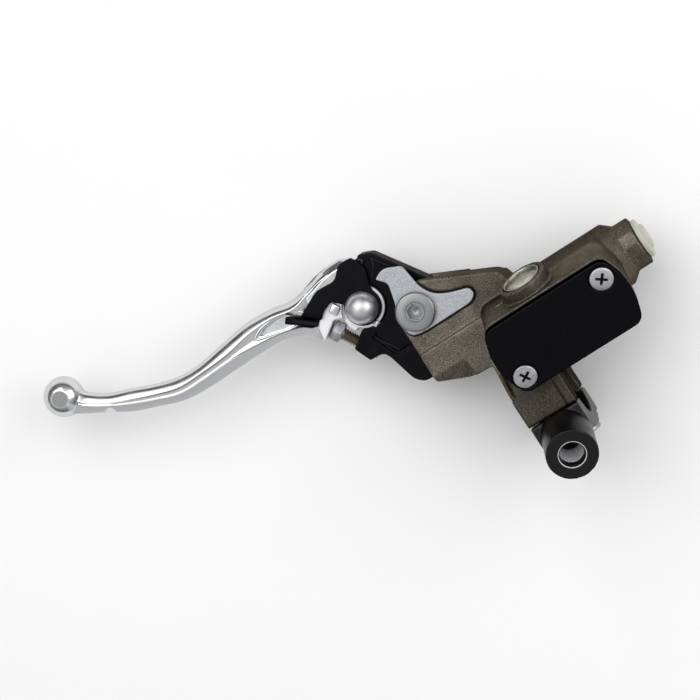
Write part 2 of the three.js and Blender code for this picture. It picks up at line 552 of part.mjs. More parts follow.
function leverBlade() {
  const head = solid(slab([
    [-72, 75.2, 4], [-65.8, 71.4, 3], [-61.6, 66.8, 0.6], [-54.3, 71.9, 0.6], [-51, 70.6, 0.6],
    [-50.7, 66, 0.6], [-49.4, 63.6, 0.4], [-47, 64.6, 0.4], [-44.8, 62.4, 1], [-37, 63.4, 2],
    [-34, 70.2, 3], [-36.6, 77.6, 2], [-37, 88, 1.4], [-41.5, 91.2, 2.4], [-52, 90.4, 4],
    [-60.5, 87.4, 4], [-74, 88.2, 6],
  ], -BLADE_Z, BLADE_Z));
  const eyeLimit = solid(postZ(PIN.x, PIN.y, 8.5, -BLADE_Z, BLADE_Z));
  const beyondEye = solid(slab([
    [-41.6, 60], [-30, 60], [-30, 79], [-35.4, 78.2], [-41.6, 70.2],
  ], -10, 10));
  const ball = new THREE.SphereGeometry(TIP.r, 20, 12).rotateX(Math.PI / 2);
  const tip = solid(ball.translate(TIP.x, TIP.y, 0));
  const pocket = [[BLADE_Z - 3.6, 10], [-10, 3.6 - BLADE_Z]].map(([z0, z1]) => solid(slab([
    [-84, 82.8, 1], [-70, 78.6, 3], [-63.5, 76.4, 1], [-60.5, 80.6, 1.5], [-68.5, 84.6, 3],
  ], z0, z1)));
  const fork = join(
    solid(postZ(PIN.x, PIN.y, 8.2, -FORK_Z, FORK_Z)),
    solid(slab([
      [-48.6, 58], [-30, 58], [-30, 79.6], [-42, 79.6], [-47.2, 66],
    ], -FORK_Z, FORK_Z)),
  );
  const pinHole = solid(postZ(PIN.x, PIN.y, PIN.r + GAP, -10, 10, 20));
  const breakNotch = solid(postZ(-149.9, 86.9, 2.4, -10, 10, 16));
  const springSeat = solid(postX(82.6, 0, 2.6, -39.4, -34, 16));
  const body = join(cut(head, beyondEye), eyeLimit, solid(finger()), tip);
  return cut(body, ...pocket, fork, pinHole, breakNotch, springSeat);
}
addTo(assembly, 'lever_blade', geometryOf(leverBlade()), finish.polished);

// Spring that keeps the blade on the reach screw.
addTo(assembly, 'reach_spring', coil(1.8, 0.7, -38.8, -32.2, 4, 8).translate(0, 82.6, 0), finish.steel);

// Stamped cover over the blade's joint, with a cross tab at its outer end.
function coverPlate() {
  const sheet = solid(slab([
    [-64.2, 79.4, 0.5], [-58.2, 74.5, 0.6], [-55.6, 76.8, 1], [-51, 78.6, 1.5], [-46.6, 74.2, 1.5],
    [-44, 64, 3], [-36, 64, 4], [-34.6, 76.6, 3], [-32.6, 81.6, 1.5], [-33.6, 86.4, 0.6],
    [-35.4, 88.9, 0.4], [-40.6, 89.2, 1.2], [-45.4, 84.6, 2], [-53.8, 85.2, 1.6], [-63.6, 80.4, 0.6],
  ], COVER.z0, COVER.z1));
  const tab = solid(slab([
    [-71.2, 80.9, 0.3], [-60.8, 73, 0.3], [-58, 75.8, 0.3], [-69.4, 83.2, 0.3],
  ], COVER.z0 - 0.2, COVER.z1 - 0.9));
  const eye = solid(postZ(PIN.x, PIN.y, 7.3, COVER.z0, COVER.z1));
  const hole = solid(postZ(PIN.x, PIN.y, PIN.r + GAP, 0, 20, 20));
  return cut(join(sheet, tab, eye), hole);
}
addTo(assembly, 'joint_cover', geometryOf(coverPlate()), finish.black);

// Ball-headed pin through the fork, held by a clip underneath.
function ballPin() {
  const profile = [[0, -8.8], [PIN.r - 0.4, -8.8], [PIN.r, -8.4], [PIN.r, COVER.z1 + GAP]];
  const first = Math.asin((COVER.z1 + GAP - PIN.ballZ) / PIN.ballR);
  const steps = 8;
  for (let i = 0; i < steps; i += 1) {
    const angle = first + (Math.PI / 2 - first) * (i / steps);
    profile.push([PIN.ballR * Math.cos(angle), PIN.ballZ + PIN.ballR * Math.sin(angle)]);
  }
  profile.push([0, PIN.ballZ + PIN.ballR]);
  return turned(profile).translate(PIN.x, PIN.y, 0);
}
addTo(assembly, 'ball_pin', ballPin(), finish.polished);
addTo(assembly, 'pin_clip', turned([
  [PIN.r + GAP, -7.8], [5.4, -7.8], [5.4, -6.6], [PIN.r + GAP, -6.6], [PIN.r + GAP, -7.8],
], 20).translate(PIN.x, PIN.y, 0), finish.zinc);

// Hex-headed reach screw: its head meets the blade, its thread runs in the lever root.
const reachScrew = join(
  solid(postX(0, 0, SCREW_SIZE.headR, 0, SCREW_SIZE.headH, 6)),
  solid(postX(0, 0, SCREW_SIZE.r, SCREW_SIZE.headH - 1, SCREW_SIZE.length, 16)),
);
addTo(assembly, 'reach_screw', onScrew(geometryOf(reachScrew)), finish.steel);

export default assembly;
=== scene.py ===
"""Looks of a motorcycle brake master cylinder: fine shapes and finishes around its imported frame."""
import json
import math

import bmesh
import bpy
from bpy.props import FloatProperty, FloatVectorProperty, IntProperty, PointerProperty
from mathutils import Matrix, Vector


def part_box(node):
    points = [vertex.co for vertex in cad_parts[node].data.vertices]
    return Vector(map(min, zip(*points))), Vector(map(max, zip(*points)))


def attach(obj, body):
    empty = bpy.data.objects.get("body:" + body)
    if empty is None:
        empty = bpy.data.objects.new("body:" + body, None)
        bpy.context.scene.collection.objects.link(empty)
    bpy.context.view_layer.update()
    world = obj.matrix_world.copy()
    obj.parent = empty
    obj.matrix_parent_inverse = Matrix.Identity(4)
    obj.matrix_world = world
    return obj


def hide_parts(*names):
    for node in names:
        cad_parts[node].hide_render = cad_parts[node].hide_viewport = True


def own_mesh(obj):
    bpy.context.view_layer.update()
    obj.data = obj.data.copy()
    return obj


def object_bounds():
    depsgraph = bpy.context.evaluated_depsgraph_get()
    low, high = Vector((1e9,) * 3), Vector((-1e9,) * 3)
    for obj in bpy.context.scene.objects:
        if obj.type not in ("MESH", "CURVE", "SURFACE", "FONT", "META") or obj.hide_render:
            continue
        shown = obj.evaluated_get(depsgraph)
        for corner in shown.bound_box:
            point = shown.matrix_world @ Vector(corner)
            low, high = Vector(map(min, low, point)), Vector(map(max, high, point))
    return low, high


bl_info = {
    "name": "Brake master cylinder",
    "version": (1, 0, 0),
    "blender": (4, 5, 0),
    "location": "3D View > Sidebar > Brake",
    "description": "Builds the finished pieces of a brake master cylinder around its frame",
    "category": "Object",
}

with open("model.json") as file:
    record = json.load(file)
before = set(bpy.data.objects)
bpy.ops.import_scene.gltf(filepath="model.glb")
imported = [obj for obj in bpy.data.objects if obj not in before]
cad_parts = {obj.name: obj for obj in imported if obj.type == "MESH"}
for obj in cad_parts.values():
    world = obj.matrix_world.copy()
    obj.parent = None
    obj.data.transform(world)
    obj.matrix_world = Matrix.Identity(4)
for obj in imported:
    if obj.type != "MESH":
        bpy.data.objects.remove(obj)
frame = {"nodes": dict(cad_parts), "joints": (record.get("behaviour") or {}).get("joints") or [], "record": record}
cad_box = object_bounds()

MM = 0.001
FULL_TURN = 2 * math.pi
ON_AXIS = 1e-7  # a radius below this, in metres, is a point on the axis
TILT = math.radians(18)  # the lid leans back about the bore


# ------------------------------------------------------------------ sizes and colours
def length(name, description, millimetres):
    """A length in the panel, shown in the scene's units."""
    return FloatProperty(name=name, description=description, default=millimetres * MM,
                         min=0, precision=5, unit="LENGTH", subtype="DISTANCE")


def colour(name, description, rgb):
    return FloatVectorProperty(name=name, description=description, default=rgb, size=3,
                               min=0, max=1, subtype="COLOR")


class CastingSizes(bpy.types.PropertyGroup):
    skin: length("Skin", "Size of the cells that the casting's skin is made of", 0.42)
    rounding: IntProperty(name="Rounding", description="Passes that round a cast edge",
                          default=5, min=0, max=20)
    grain: length("Grain", "Size of the grain of the anodised casting", 0.32)
    flange: length("Flange", "How far the reservoir's rim stands out under the lid", 0.45)
    slope: length("Wall slope", "How far the reservoir's forward wall leans out at its foot", 0.9)
    mark: length("Level mark", "Length of the raised level mark beside the window", 3.6)


class MachinedSizes(bpy.types.PropertyGroup):
    skin: length("Skin", "Size of the cells of a machined or stamped piece", 0.26)
    rounding: IntProperty(name="Rounding", description="Passes that take off a machined edge",
                          default=3, min=0, max=20)
    chamfer: length("Chamfer", "Broken edge of a turned piece", 0.16)
    sides: IntProperty(name="Sides", description="Sides of a turned piece", default=96, min=24,
                       max=256)
    pitch: length("Thread pitch", "Pitch of the reach screw's thread", 1.0)


class FinishColours(bpy.types.PropertyGroup):
    casting: colour("Casting", "Grey-brown hard anodised casting", (0.235, 0.206, 0.172))
    casting_dark: colour("Casting shade", "Darker tone of the casting", (0.075, 0.064, 0.051))
    black: colour("Black", "Satin black anodised pieces", (0.0095, 0.0095, 0.0115))
    lid: colour("Lid", "Satin black reservoir lid", (0.0098, 0.0095, 0.0115))
    clamp: colour("Clamp", "Black clamp half", (0.003, 0.003, 0.0034))
    blasted: colour("Blasted", "Bead-blasted silver plate", (0.47, 0.49, 0.52))
    aluminium: colour("Aluminium", "Polished aluminium", (0.70, 0.705, 0.715))
    mouth: colour("Mirror thread", "Bare aluminium in the mirror boss", (0.85, 0.85, 0.87))
    steel: colour("Steel", "Turned steel", (0.36, 0.37, 0.375))
    ball: colour("Ball", "Polished head of the ball pin", (0.72, 0.72, 0.76))
    ring: colour("Window ring", "Dull bright ring of the window", (0.4, 0.38, 0.32))
    zinc: colour("Zinc", "Bright zinc plate", (0.62, 0.62, 0.645))
    brass: colour("Thread", "Yellow-passivated thread", (0.30, 0.22, 0.165))
    plastic: colour("Plastic", "Natural plastic plug", (0.56, 0.55, 0.48))
    cream: colour("Window", "Cream backing of the window", (0.24, 0.225, 0.165))
    rubber: colour("Rubber", "Black rubber", (0.012, 0.012, 0.012))
    bronze: colour("Bronze", "Sintered bronze bush", (0.42, 0.28, 0.14))
    floor: colour("Floor", "Pale studio floor", (0.93, 0.93, 0.93))


class StudioSizes(bpy.types.PropertyGroup):
    target: FloatVectorProperty(name="Target", description="Point that the camera looks at",
                                default=(-0.05645, 0.05865, 0), size=3, subtype="XYZ",
                                unit="LENGTH")
    lean: FloatVectorProperty(name="Lean", description="Direction from the target to the camera",
                              default=(0.19, 0.03, 1), size=3, subtype="DIRECTION")
    distance: length("Distance", "Distance from the target to the camera", 1100)
    roll: FloatProperty(name="Roll", description="Turn of the camera about its own axis",
                        default=math.radians(-32.5), subtype="ANGLE")
    lens: FloatProperty(name="Lens", description="Focal length in millimetres", default=145.05,
                        min=1)
    sky: FloatProperty(name="Sky", description="Brightness of the room", default=0.95, min=0)
    floor_size: length("Floor size", "Width of the floor", 6000)


def sizes(group):
    return getattr(bpy.context.scene, group)


# ------------------------------------------------------------------ mesh helpers
def place(mesh, name):
    """A new object for a mesh, in the scene."""
    piece = bpy.data.objects.new(name, mesh)
    bpy.context.scene.collection.objects.link(piece)
    return piece


def from_bmesh(bm, name):
    mesh = bpy.data.meshes.new(name)
    bm.to_mesh(mesh)
    bm.free()
    return place(mesh, name)


def cad_bmesh(node):
    """The CAD node's surface, with corners that lie together merged."""
    source = frame["nodes"][node].data
    bm = bmesh.new()
    corners = [bm.verts.new(v.co) for v in source.vertices]
    for face in source.polygons:
        bm.faces.new([corners[i] for i in face.vertices])
    bmesh.ops.remove_doubles(bm, verts=bm.verts, dist=0.001 * MM)
    return bm


def bake(piece):
    """Replaces a piece's mesh by what its modifiers make of it."""
    bpy.context.view_layer.update()
    graph = bpy.context.evaluated_depsgraph_get()
    mesh = bpy.data.meshes.new_from_object(piece.evaluated_get(graph))
    piece.modifiers.clear()
    piece.data = mesh
    return piece


def shade(piece, angle=32):
    """Smooth shading, with edges sharper than the angle kept crisp."""
    bm = bmesh.new()
    bm.from_mesh(piece.data)
    limit = math.radians(angle)
    for face in bm.faces:
        face.smooth = True
    for edge in bm.edges:
        edge.smooth = edge.calc_face_angle(0) < limit
    bm.to_mesh(piece.data)
    bm.free()
    return piece


def skin(piece, cell, passes):
    """Gives a solid one even skin and rounds its edges and inner corners."""
    remesh = piece.modifiers.new("Skin", "REMESH")
    remesh.mode = "VOXEL"
    remesh.voxel_size = cell
    soften = piece.modifiers.new("Soften", "SMOOTH")
    soften.factor = 0.5
    soften.iterations = passes
    bake(piece)
    return shade(piece, 60)


def skinned_copy(node, name, cell, passes):
    return skin(from_bmesh(cad_bmesh(node), name), cell, passes)


def chamfer(piece, width, segments=2, angle=34):
    bevel = piece.modifiers.new("Edges", "BEVEL")
    bevel.width = width
    bevel.segments = segments
    bevel.limit_method = "ANGLE"
    bevel.angle_limit = math.radians(angle)
    bevel.use_clamp_overlap = True
    bake(piece)
    return shade(piece)


def carve(piece, tool, operation="DIFFERENCE"):
    """Cuts a tool from a piece and throws the tool away."""
    cut = piece.modifiers.new("Cut", "BOOLEAN")
    cut.operation = operation
    cut.solver = "EXACT"
    cut.object = tool
    bake(piece)
    bpy.data.objects.remove(tool)
    return piece


def axis_frame(origin, axis):
    """Matrix that takes +Z to an axis through a point, both in metres."""
    turn = Vector(axis).to_track_quat("Z", "Y").to_matrix().to_4x4()
    return Matrix.Translation(origin) @ turn


def angles(sides):
    return [FULL_TURN * i / sides for i in range(sides)]


def bridge(bm, rings, closed=False, capped=False):
    """Joins each ring of corners to the next. A ring may be a single point."""
    sides = max(len(ring) for ring in rings)
    pairs = list(zip(rings, rings[1:]))
    if closed:
        pairs.append((rings[-1], rings[0]))
    for low, high in pairs:
        for i in range(sides):
            j = (i + 1) % sides
            corners = [low[i % len(low)], low[j % len(low)], high[j % len(high)], high[i % len(high)]]
            bm.faces.new(list(dict.fromkeys(corners)))
    if capped:
        bm.faces.new(rings[0][::-1])
        bm.faces.new(rings[-1])
    bmesh.ops.recalc_face_normals(bm, faces=bm.faces)
    return bm


def revolve(profile, sides, closed=False):
    """Surface of revolution about +Z from (radius, height) pairs; ends on the axis close to a point."""
    bm = bmesh.new()
    rings = []
    for radius, height in profile:
        if radius < ON_AXIS:
            rings.append([bm.verts.new((0, 0, height))])
            continue
        rings.append([bm.verts.new((radius * math.cos(a), radius * math.sin(a), height))
                      for a in angles(sides)])
    return bridge(bm, rings, closed)


def turned(name, profile, origin=(0, 0, 0), axis=(0, 0, 1), width=None, closed=False):
    """Turned piece with broken edges: profile in millimetres, origin in metres."""
    machined = sizes("machined_sizes")
    bm = revolve([(r * MM, z * MM) for r, z in profile], machined.sides, closed)
    bm.transform(axis_frame(origin, axis))
    piece = from_bmesh(bm, name)
    return chamfer(piece, machined.chamfer if width is None else width * MM)


def turned_copy(node, name, origin, axis, width=None):
    """Turns a CAD node's own profile again with many more sides."""
    machined = sizes("machined_sizes")
    bm = cad_bmesh(node)
    place_back = axis_frame(origin, axis)
    bm.transform(place_back.inverted())
    widest = max(bm.verts, key=lambda v: (round(v.co.xy.length, 6), v.co.x))
    start = math.atan2(widest.co.y, widest.co.x)

    def on_profile(v):
        if v.co.xy.length < 1e-6:
            return True
        off = math.atan2(v.co.y, v.co.x) - start
        return abs(math.remainder(off, FULL_TURN)) < 0.01

    line = [v for v in bm.verts if on_profile(v)]
    kept = set(line)
    steps = {v: [e.other_vert(v) for e in v.link_edges if e.other_vert(v) in kept] for v in line}
    on_axis = [v for v in line if v.co.xy.length < 1e-6]
    closed = not on_axis
    here = max(on_axis or line, key=lambda v: v.co.z)
    walk = [here]
    while True:
        ahead = [v for v in steps[walk[-1]] if v not in walk]
        if not ahead:
            break
        ahead.sort(key=lambda v: v.co.xy.length < 1e-6)
        walk.append(ahead[0])
    profile = [(0 if v.co.xy.length < 1e-6 else v.co.xy.length, v.co.z) for v in walk]
    bm.free()
    fine = revolve(profile, machined.sides, closed)
    fine.transform(place_back)
    piece = from_bmesh(fine, name)
    return chamfer(piece, machined.chamfer if width is None else width * MM)


def prism(name, outline, z0, z1, scale=1.0):
    """Prism in millimetres whose lower end may be a smaller copy of its upper end."""
    bm = bmesh.new()
    middle = Vector((sum(p[0] for p in outline), sum(p[1] for p in outline))) / len(outline)
    rings = []
    for z, share in ((z0, scale), (z1, 1.0)):
        points = [middle + (Vector(p) - middle) * share for p in outline]
        rings.append([bm.verts.new((p.x * MM, p.y * MM, z * MM)) for p in points])
    return from_bmesh(bridge(bm, rings, capped=True), name)


def polygon(sides, radius, turn=0.0):
    return [(radius * math.cos(turn + a), radius * math.sin(turn + a)) for a in angles(sides)]


def move_to(piece, origin, axis):
    piece.data.transform(axis_frame(origin, axis))
    return piece


def join(name, *pieces):
    """One object from several closed shells."""
    bm = bmesh.new()
    for piece in pieces:
        bm.from_mesh(piece.data)
        bpy.data.objects.remove(piece)
    return from_bmesh(bm, name)


def thread(name, radius, depth, pitch, z0, z1, inside=False):
    """Threaded rod, or with inside=True the wall of a threaded hole, in millimetres."""
    bm = bmesh.new()
    sides, rows_per_turn, wall_thickness = 48, 10, 0.25
    rows = max(2, int((z1 - z0) / pitch * rows_per_turn))
    rings = []
    for row in range(rows + 1):
        z = z0 + (z1 - z0) * row / rows
        fade = min(1.0, (z - z0) / pitch, (z1 - z) / pitch)
        ring = []
        for i, a in enumerate(angles(sides)):
            phase = (z / pitch - i / sides) % 1
            crest = 1 - abs(2 * phase - 1)
            r = radius - depth * fade * (crest if inside else 1 - crest)
            ring.append(bm.verts.new((r * MM * math.cos(a), r * MM * math.sin(a), z * MM)))
        rings.append(ring)
    if inside:
        wall = radius + wall_thickness
        for z in (z1, z0):
            rings.append([bm.verts.new((wall * MM * math.cos(a), wall * MM * math.sin(a), z * MM))
                          for a in angles(sides)])
    bridge(bm, rings, closed=inside, capped=not inside)
    return shade(from_bmesh(bm, name), 40)


def coil(name, radius, wire, x0, x1, turns, centre):
    """Wire spring along +X with closed ends, in millimetres about a centre in metres."""
    bm = bmesh.new()
    sides, steps = 12, int(turns * 36)
    rings = []
    for step in range(steps + 1):
        t = step / steps
        a = FULL_TURN * turns * t
        out = Vector((0, math.cos(a), math.sin(a)))
        middle = out * radius + Vector((x0 + (x1 - x0) * t, 0, 0))
        rings.append([bm.verts.new((middle + (out * math.cos(b) + Vector((1, 0, 0)) * math.sin(b))
                                    * wire / 2) * MM)
                      for b in angles(sides)])
    bridge(bm, rings, capped=True)
    bm.transform(Matrix.Translation(centre))
    return shade(from_bmesh(bm, name), 40)


def tube(name, points, radius, closed=False):
    """Round bead along a smooth line through points, in millimetres."""
    sides, smooth = 10, 6
    count = len(points)
    line = []
    for i in range(count if closed else count - 1):
        four = [points[(i + k) % count if closed else min(max(i + k, 0), count - 1)]
                for k in (-1, 0, 1, 2)]
        line += [Vector(between(four, 1 + step / smooth)) for step in range(smooth)]
    if not closed:
        line.append(Vector(points[-1]))
    bm = bmesh.new()
    rings = []
    for i, middle in enumerate(line):
        ahead = line[(i + 1) % len(line)] if closed else line[min(i + 1, len(line) - 1)]
        behind = line[i - 1] if closed else line[max(i - 1, 0)]
        turn = (ahead - behind).to_track_quat("Y", "Z")
        rings.append([bm.verts.new((middle + turn @ Vector((math.cos(a), 0, math.sin(a))) * radius) * MM)
                      for a in angles(sides)])
    bridge(bm, rings, closed, capped=not closed)
    return shade(from_bmesh(bm, name), 50)


def shorten(spring):
    """Gives a spring along X its own copy of its mesh."""
    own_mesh(spring)


def distance_to_line(x, y, line):
    """Distance in the plane from a point to a line of straight stretches."""
    best = 1e9
    for (ax, ay), (bx, by) in zip(line, line[1:]):
        dx, dy = bx - ax, by - ay
        t = max(0, min(1, ((x - ax) * dx + (y - ay) * dy) / (dx * dx + dy * dy)))
        best = min(best, math.hypot(x - ax - t * dx, y - ay - t * dy))
    return best


def finish_piece(piece, body, slot, finish, *nodes):
    """Gives a piece its finish, hangs it under its body's empty and hides the CAD nodes that it stands for."""
    piece.data.materials.clear()
    piece.data.materials.append(finish)
    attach(piece, body)
    if nodes:
        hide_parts(*nodes)
    return piece


# ------------------------------------------------------------------ shader helpers
def add(tree, kind, **settings):
    made = tree.nodes.new(kind)
    for name, value in settings.items():
        setattr(made, name, value)
    return made


def feed(tree, socket, source):
    """Links a socket from another socket, or sets it to a plain value."""
    if isinstance(source, bpy.types.NodeSocket):
        tree.links.new(source, socket)
    elif isinstance(source, (tuple, list)) and len(source) == 3 and len(socket.default_value) == 4:
        socket.default_value = (*source, 1)
    else:
        socket.default_value = source


def maths(tree, operation, a, b=0.0, clamp=False):
    made = add(tree, "ShaderNodeMath", operation=operation, use_clamp=clamp)
    feed(tree, made.inputs[0], a)
    feed(tree, made.inputs[1], b)
    return made.outputs[0]


def blend_colour(tree, share, a, b):
    made = add(tree, "ShaderNodeMix", data_type="RGBA")
    feed(tree, made.inputs[0], share)
    feed(tree, made.inputs[6], a)
    feed(tree, made.inputs[7], b)
    return made.outputs[2]


def spread(tree, value, low, high, to_low=0.0, to_high=1.0):
    made = add(tree, "ShaderNodeMapRange")
    for socket, source in zip(made.inputs, (value, low, high, to_low, to_high)):
        feed(tree, socket, source)
    return made.outputs[0]


def noise(tree, scale, detail=2.0, roughness=0.5, vector=None):
    made = add(tree, "ShaderNodeTexNoise")
    feed(tree, made.inputs["Scale"], scale)
    made.inputs["Detail"].default_value = detail
    made.inputs["Roughness"].default_value = roughness
    if vector is None:
        vector = add(tree, "ShaderNodeTexCoord").outputs["Object"]
    feed(tree, made.inputs["Vector"], vector)
    return made.outputs[0]


def new_group(name, inputs, outputs):
    """An empty shader group with its sockets, and its inner ends."""
    tree = bpy.data.node_groups.new(name, "ShaderNodeTree")
    for label, kind, default in inputs:
        socket = tree.interface.new_socket(label, in_out="INPUT", socket_type=kind)
        socket.default_value = default
    for label, kind in outputs:
        tree.interface.new_socket(label, in_out="OUTPUT", socket_type=kind)
    return tree, add(tree, "NodeGroupInput").outputs, add(tree, "NodeGroupOutput").inputs


def make_grain_group():
    """Grain of a cast, blasted or moulded surface: height, bright flecks and slow tone."""
    tree, given, out = new_group(
        "Grain",
        [("Size", "NodeSocketFloat", 0.0005), ("Fleck share", "NodeSocketFloat", 0.3)],
        [("Height", "NodeSocketFloat"), ("Flecks", "NodeSocketFloat"), ("Tone", "NodeSocketFloat")],
    )
    scale = maths(tree, "DIVIDE", 1.0, given["Size"])
    height = noise(tree, scale, 3.0, 0.6)
    fleck_scale = maths(tree, "MULTIPLY", scale, 1.35)
    fleck = noise(tree, fleck_scale, 1.0, 0.5)
    edge = maths(tree, "SUBTRACT", 0.78, maths(tree, "MULTIPLY", given["Fleck share"], 0.3))
    feed(tree, out["Height"], height)
    feed(tree, out["Flecks"], spread(tree, fleck, edge, maths(tree, "ADD", edge, 0.1)))
    feed(tree, out["Tone"], spread(tree, noise(tree, 85.0, 3.0, 0.6), 0.32, 0.68))
    return tree


def make_rubbed_and_highlit_edges_group():
    """Brightened edges: partly rubbed by handling and tumbling, partly painted highlight."""
    tree, given, out = new_group(
        "Rubbed and highlit edges",
        [("Radius", "NodeSocketFloat", 0.0004), ("Amount", "NodeSocketFloat", 1.0),
         ("Patchiness", "NodeSocketFloat", 0.5)],
        [("Mask", "NodeSocketFloat")],
    )
    rounded = add(tree, "ShaderNodeBevel", samples=6)
    feed(tree, rounded.inputs["Radius"], given["Radius"])
    dot = add(tree, "ShaderNodeVectorMath", operation="DOT_PRODUCT")
    feed(tree, dot.inputs[0], rounded.outputs[0])
    feed(tree, dot.inputs[1], add(tree, "ShaderNodeNewGeometry").outputs["Normal"])
    edge = spread(tree, dot.outputs["Value"], 0.995, 0.86)
    patches = spread(tree, noise(tree, 900.0, 3.0, 0.7), 0.35, 0.65)
    kept = maths(tree, "SUBTRACT", 1.0, maths(tree, "MULTIPLY", given["Patchiness"], patches))
    masked = maths(tree, "MULTIPLY", edge, kept)
    feed(tree, out["Mask"], maths(tree, "MULTIPLY", masked, given["Amount"], clamp=True))
    return tree


def make_rings_group():
    """Fine rings that a lathe leaves about an axis."""
    tree, given, out = new_group(
        "Turned rings",
        [("Centre", "NodeSocketVector", (0, 0, 0)), ("Axis", "NodeSocketVector", (0, 0, 1)),
         ("Pitch", "NodeSocketFloat", 0.0003)],
        [("Height", "NodeSocketFloat"), ("Tone", "NodeSocketFloat")],
    )
    away = add(tree, "ShaderNodeVectorMath", operation="SUBTRACT")
    feed(tree, away.inputs[0], add(tree, "ShaderNodeTexCoord").outputs["Object"])
    feed(tree, away.inputs[1], given["Centre"])
    along = add(tree, "ShaderNodeVectorMath", operation="DOT_PRODUCT")
    feed(tree, along.inputs[0], away.outputs[0])
    feed(tree, along.inputs[1], given["Axis"])
    across = add(tree, "ShaderNodeVectorMath", operation="CROSS_PRODUCT")
    feed(tree, across.inputs[0], away.outputs[0])
    feed(tree, across.inputs[1], given["Axis"])
    radius = add(tree, "ShaderNodeVectorMath", operation="LENGTH")
    feed(tree, radius.inputs[0], across.outputs[0])
    track = add(tree, "ShaderNodeCombineXYZ")
    feed(tree, track.inputs[0], radius.outputs["Value"])
    feed(tree, track.inputs[1], along.outputs["Value"])
    scale = maths(tree, "DIVIDE", 1.0, given["Pitch"])
    feed(tree, out["Height"], noise(tree, scale, 2.0, 0.5, track.outputs[0]))
    slow = maths(tree, "MULTIPLY", scale, 0.22)
    feed(tree, out["Tone"], spread(tree, noise(tree, slow, 2.0, 0.5, track.outputs[0]), 0.3, 0.7))
    return tree


def make_marks_group():
    """Handling: smudges that change the gloss, and a few fine scratches."""
    tree, given, out = new_group(
        "Handling marks",
        [("Size", "NodeSocketFloat", 0.008), ("Scratch size", "NodeSocketFloat", 0.0012)],
        [("Smudge", "NodeSocketFloat"), ("Scratches", "NodeSocketFloat")],
    )
    scale = maths(tree, "DIVIDE", 1.0, given["Size"])
    feed(tree, out["Smudge"], spread(tree, noise(tree, scale, 4.0, 0.62), 0.35, 0.65))
    stretch = add(tree, "ShaderNodeMapping")
    stretch.inputs["Rotation"].default_value = (0.2, 0.1, 0.9)
    stretch.inputs["Scale"].default_value = (1.0, 14.0, 4.0)
    feed(tree, stretch.inputs["Vector"], add(tree, "ShaderNodeTexCoord").outputs["Object"])
    fine = maths(tree, "DIVIDE", 0.35, given["Scratch size"])
    lines = noise(tree, fine, 2.0, 0.5, stretch.outputs[0])
    feed(tree, out["Scratches"], spread(tree, lines, 0.66, 0.72))
    return tree


def use(tree, group, **values):
    """Places a shared group in a material with its own values."""
    made = add(tree, "ShaderNodeGroup")
    made.node_tree = bpy.data.node_groups[group]
    for label, value in values.items():
        feed(tree, made.inputs[label.replace("_", " ")], value)
    return made.outputs


def principled(name, **settings):
    """A material and its main shader, with plain values set on the shader's own sockets."""
    material = bpy.data.materials.new(name)
    material.use_nodes = True
    tree = material.node_tree
    shader = tree.nodes["Principled BSDF"]
    for label, value in settings.items():
        feed(tree, shader.inputs[label.replace("_", " ")], value)
    return material, tree, shader.inputs


def bump(tree, surface, height, strength, distance):
    made = add(tree, "ShaderNodeBump")
    made.inputs["Strength"].default_value = strength
    made.inputs["Distance"].default_value = distance
    feed(tree, made.inputs["Height"], height)
    feed(tree, surface["Normal"], made.outputs[0])


def painted_flank_shade(tree, place):
    """Forward flank of the barrel, below the reservoir's wall: mask of the painted shade there."""
    drop = maths(tree, "MULTIPLY", place[1], -math.sin(TILT))
    height = maths(tree, "ADD", drop, maths(tree, "MULTIPLY", place[2], math.cos(TILT)))
    base_height = -bore_point().y * math.sin(TILT)
    low = spread(tree, height, base_height + 0.0138, base_height + 0.0122, 0.0, 0.36)
    ahead = spread(tree, place[1], 0.0415, 0.0435, 0.0, 1.0)
    start = spread(tree, place[0], -0.008, -0.003, 0.0, 1.0)
    end = spread(tree, place[0], 0.0555, 0.052, 0.0, 1.0)
    return maths(tree, "MULTIPLY", maths(tree, "MULTIPLY", low, ahead),
                 maths(tree, "MULTIPLY", start, end))


def casting_finish():
    """Grey-brown hard anodised casting with a sparkling grain, lighter edges that are partly rubbed and partly
    painted highlight, and painted shade on the arm and the barrel's forward flank.
    """
    colours = sizes("finish_colours")
    grain_size = sizes("casting_sizes").grain
    material, tree, surface = principled("casting", Metallic=1.0, Specular_Tint=(0.3, 0.28, 0.25))
    grain = use(tree, "Grain", Size=grain_size, Fleck_share=0.65)
    marks = use(tree, "Handling marks", Size=0.012)
    wear_and_highlight = use(tree, "Rubbed and highlit edges", Radius=0.0006, Amount=0.5, Patchiness=0.7)
    tone = blend_colour(tree, grain["Tone"], tuple(colours.casting_dark), tuple(colours.casting))
    tone = blend_colour(tree, spread(tree, grain["Height"], 0.42, 0.58), tuple(colours.casting_dark), tone)
    lit = blend_colour(tree, maths(tree, "MULTIPLY", grain["Flecks"], 0.65), tone, (0.60, 0.55, 0.48))
    # Lighter edges: partly rubbed metal, partly painted highlight.
    worn_and_highlit = blend_colour(tree, wear_and_highlight["Mask"], lit, (0.30, 0.265, 0.225))
    parts = add(tree, "ShaderNodeSeparateXYZ")
    feed(tree, parts.inputs[0], add(tree, "ShaderNodeTexCoord").outputs["Object"])
    # Painted shade: the arm, below about 21 mm in Y, and the barrel's forward flank are darkened towards a
    # near-black brown.
    arm = spread(tree, parts.outputs[1], 0.021, 0.014, 0.0, 0.6)
    flank = painted_flank_shade(tree, parts.outputs)
    shade_share = maths(tree, "MAXIMUM", arm, flank)
    feed(tree, surface["Base Color"], blend_colour(tree, shade_share, worn_and_highlit, (0.012, 0.01, 0.008)))
    gloss = spread(tree, grain["Height"], 0.35, 0.65, 0.56, 0.4)
    feed(tree, surface["Roughness"], maths(tree, "ADD", gloss,
                                           maths(tree, "MULTIPLY", marks["Smudge"], 0.06)))
    bump(tree, surface, grain["Height"], 0.5, 0.0001)
    return material


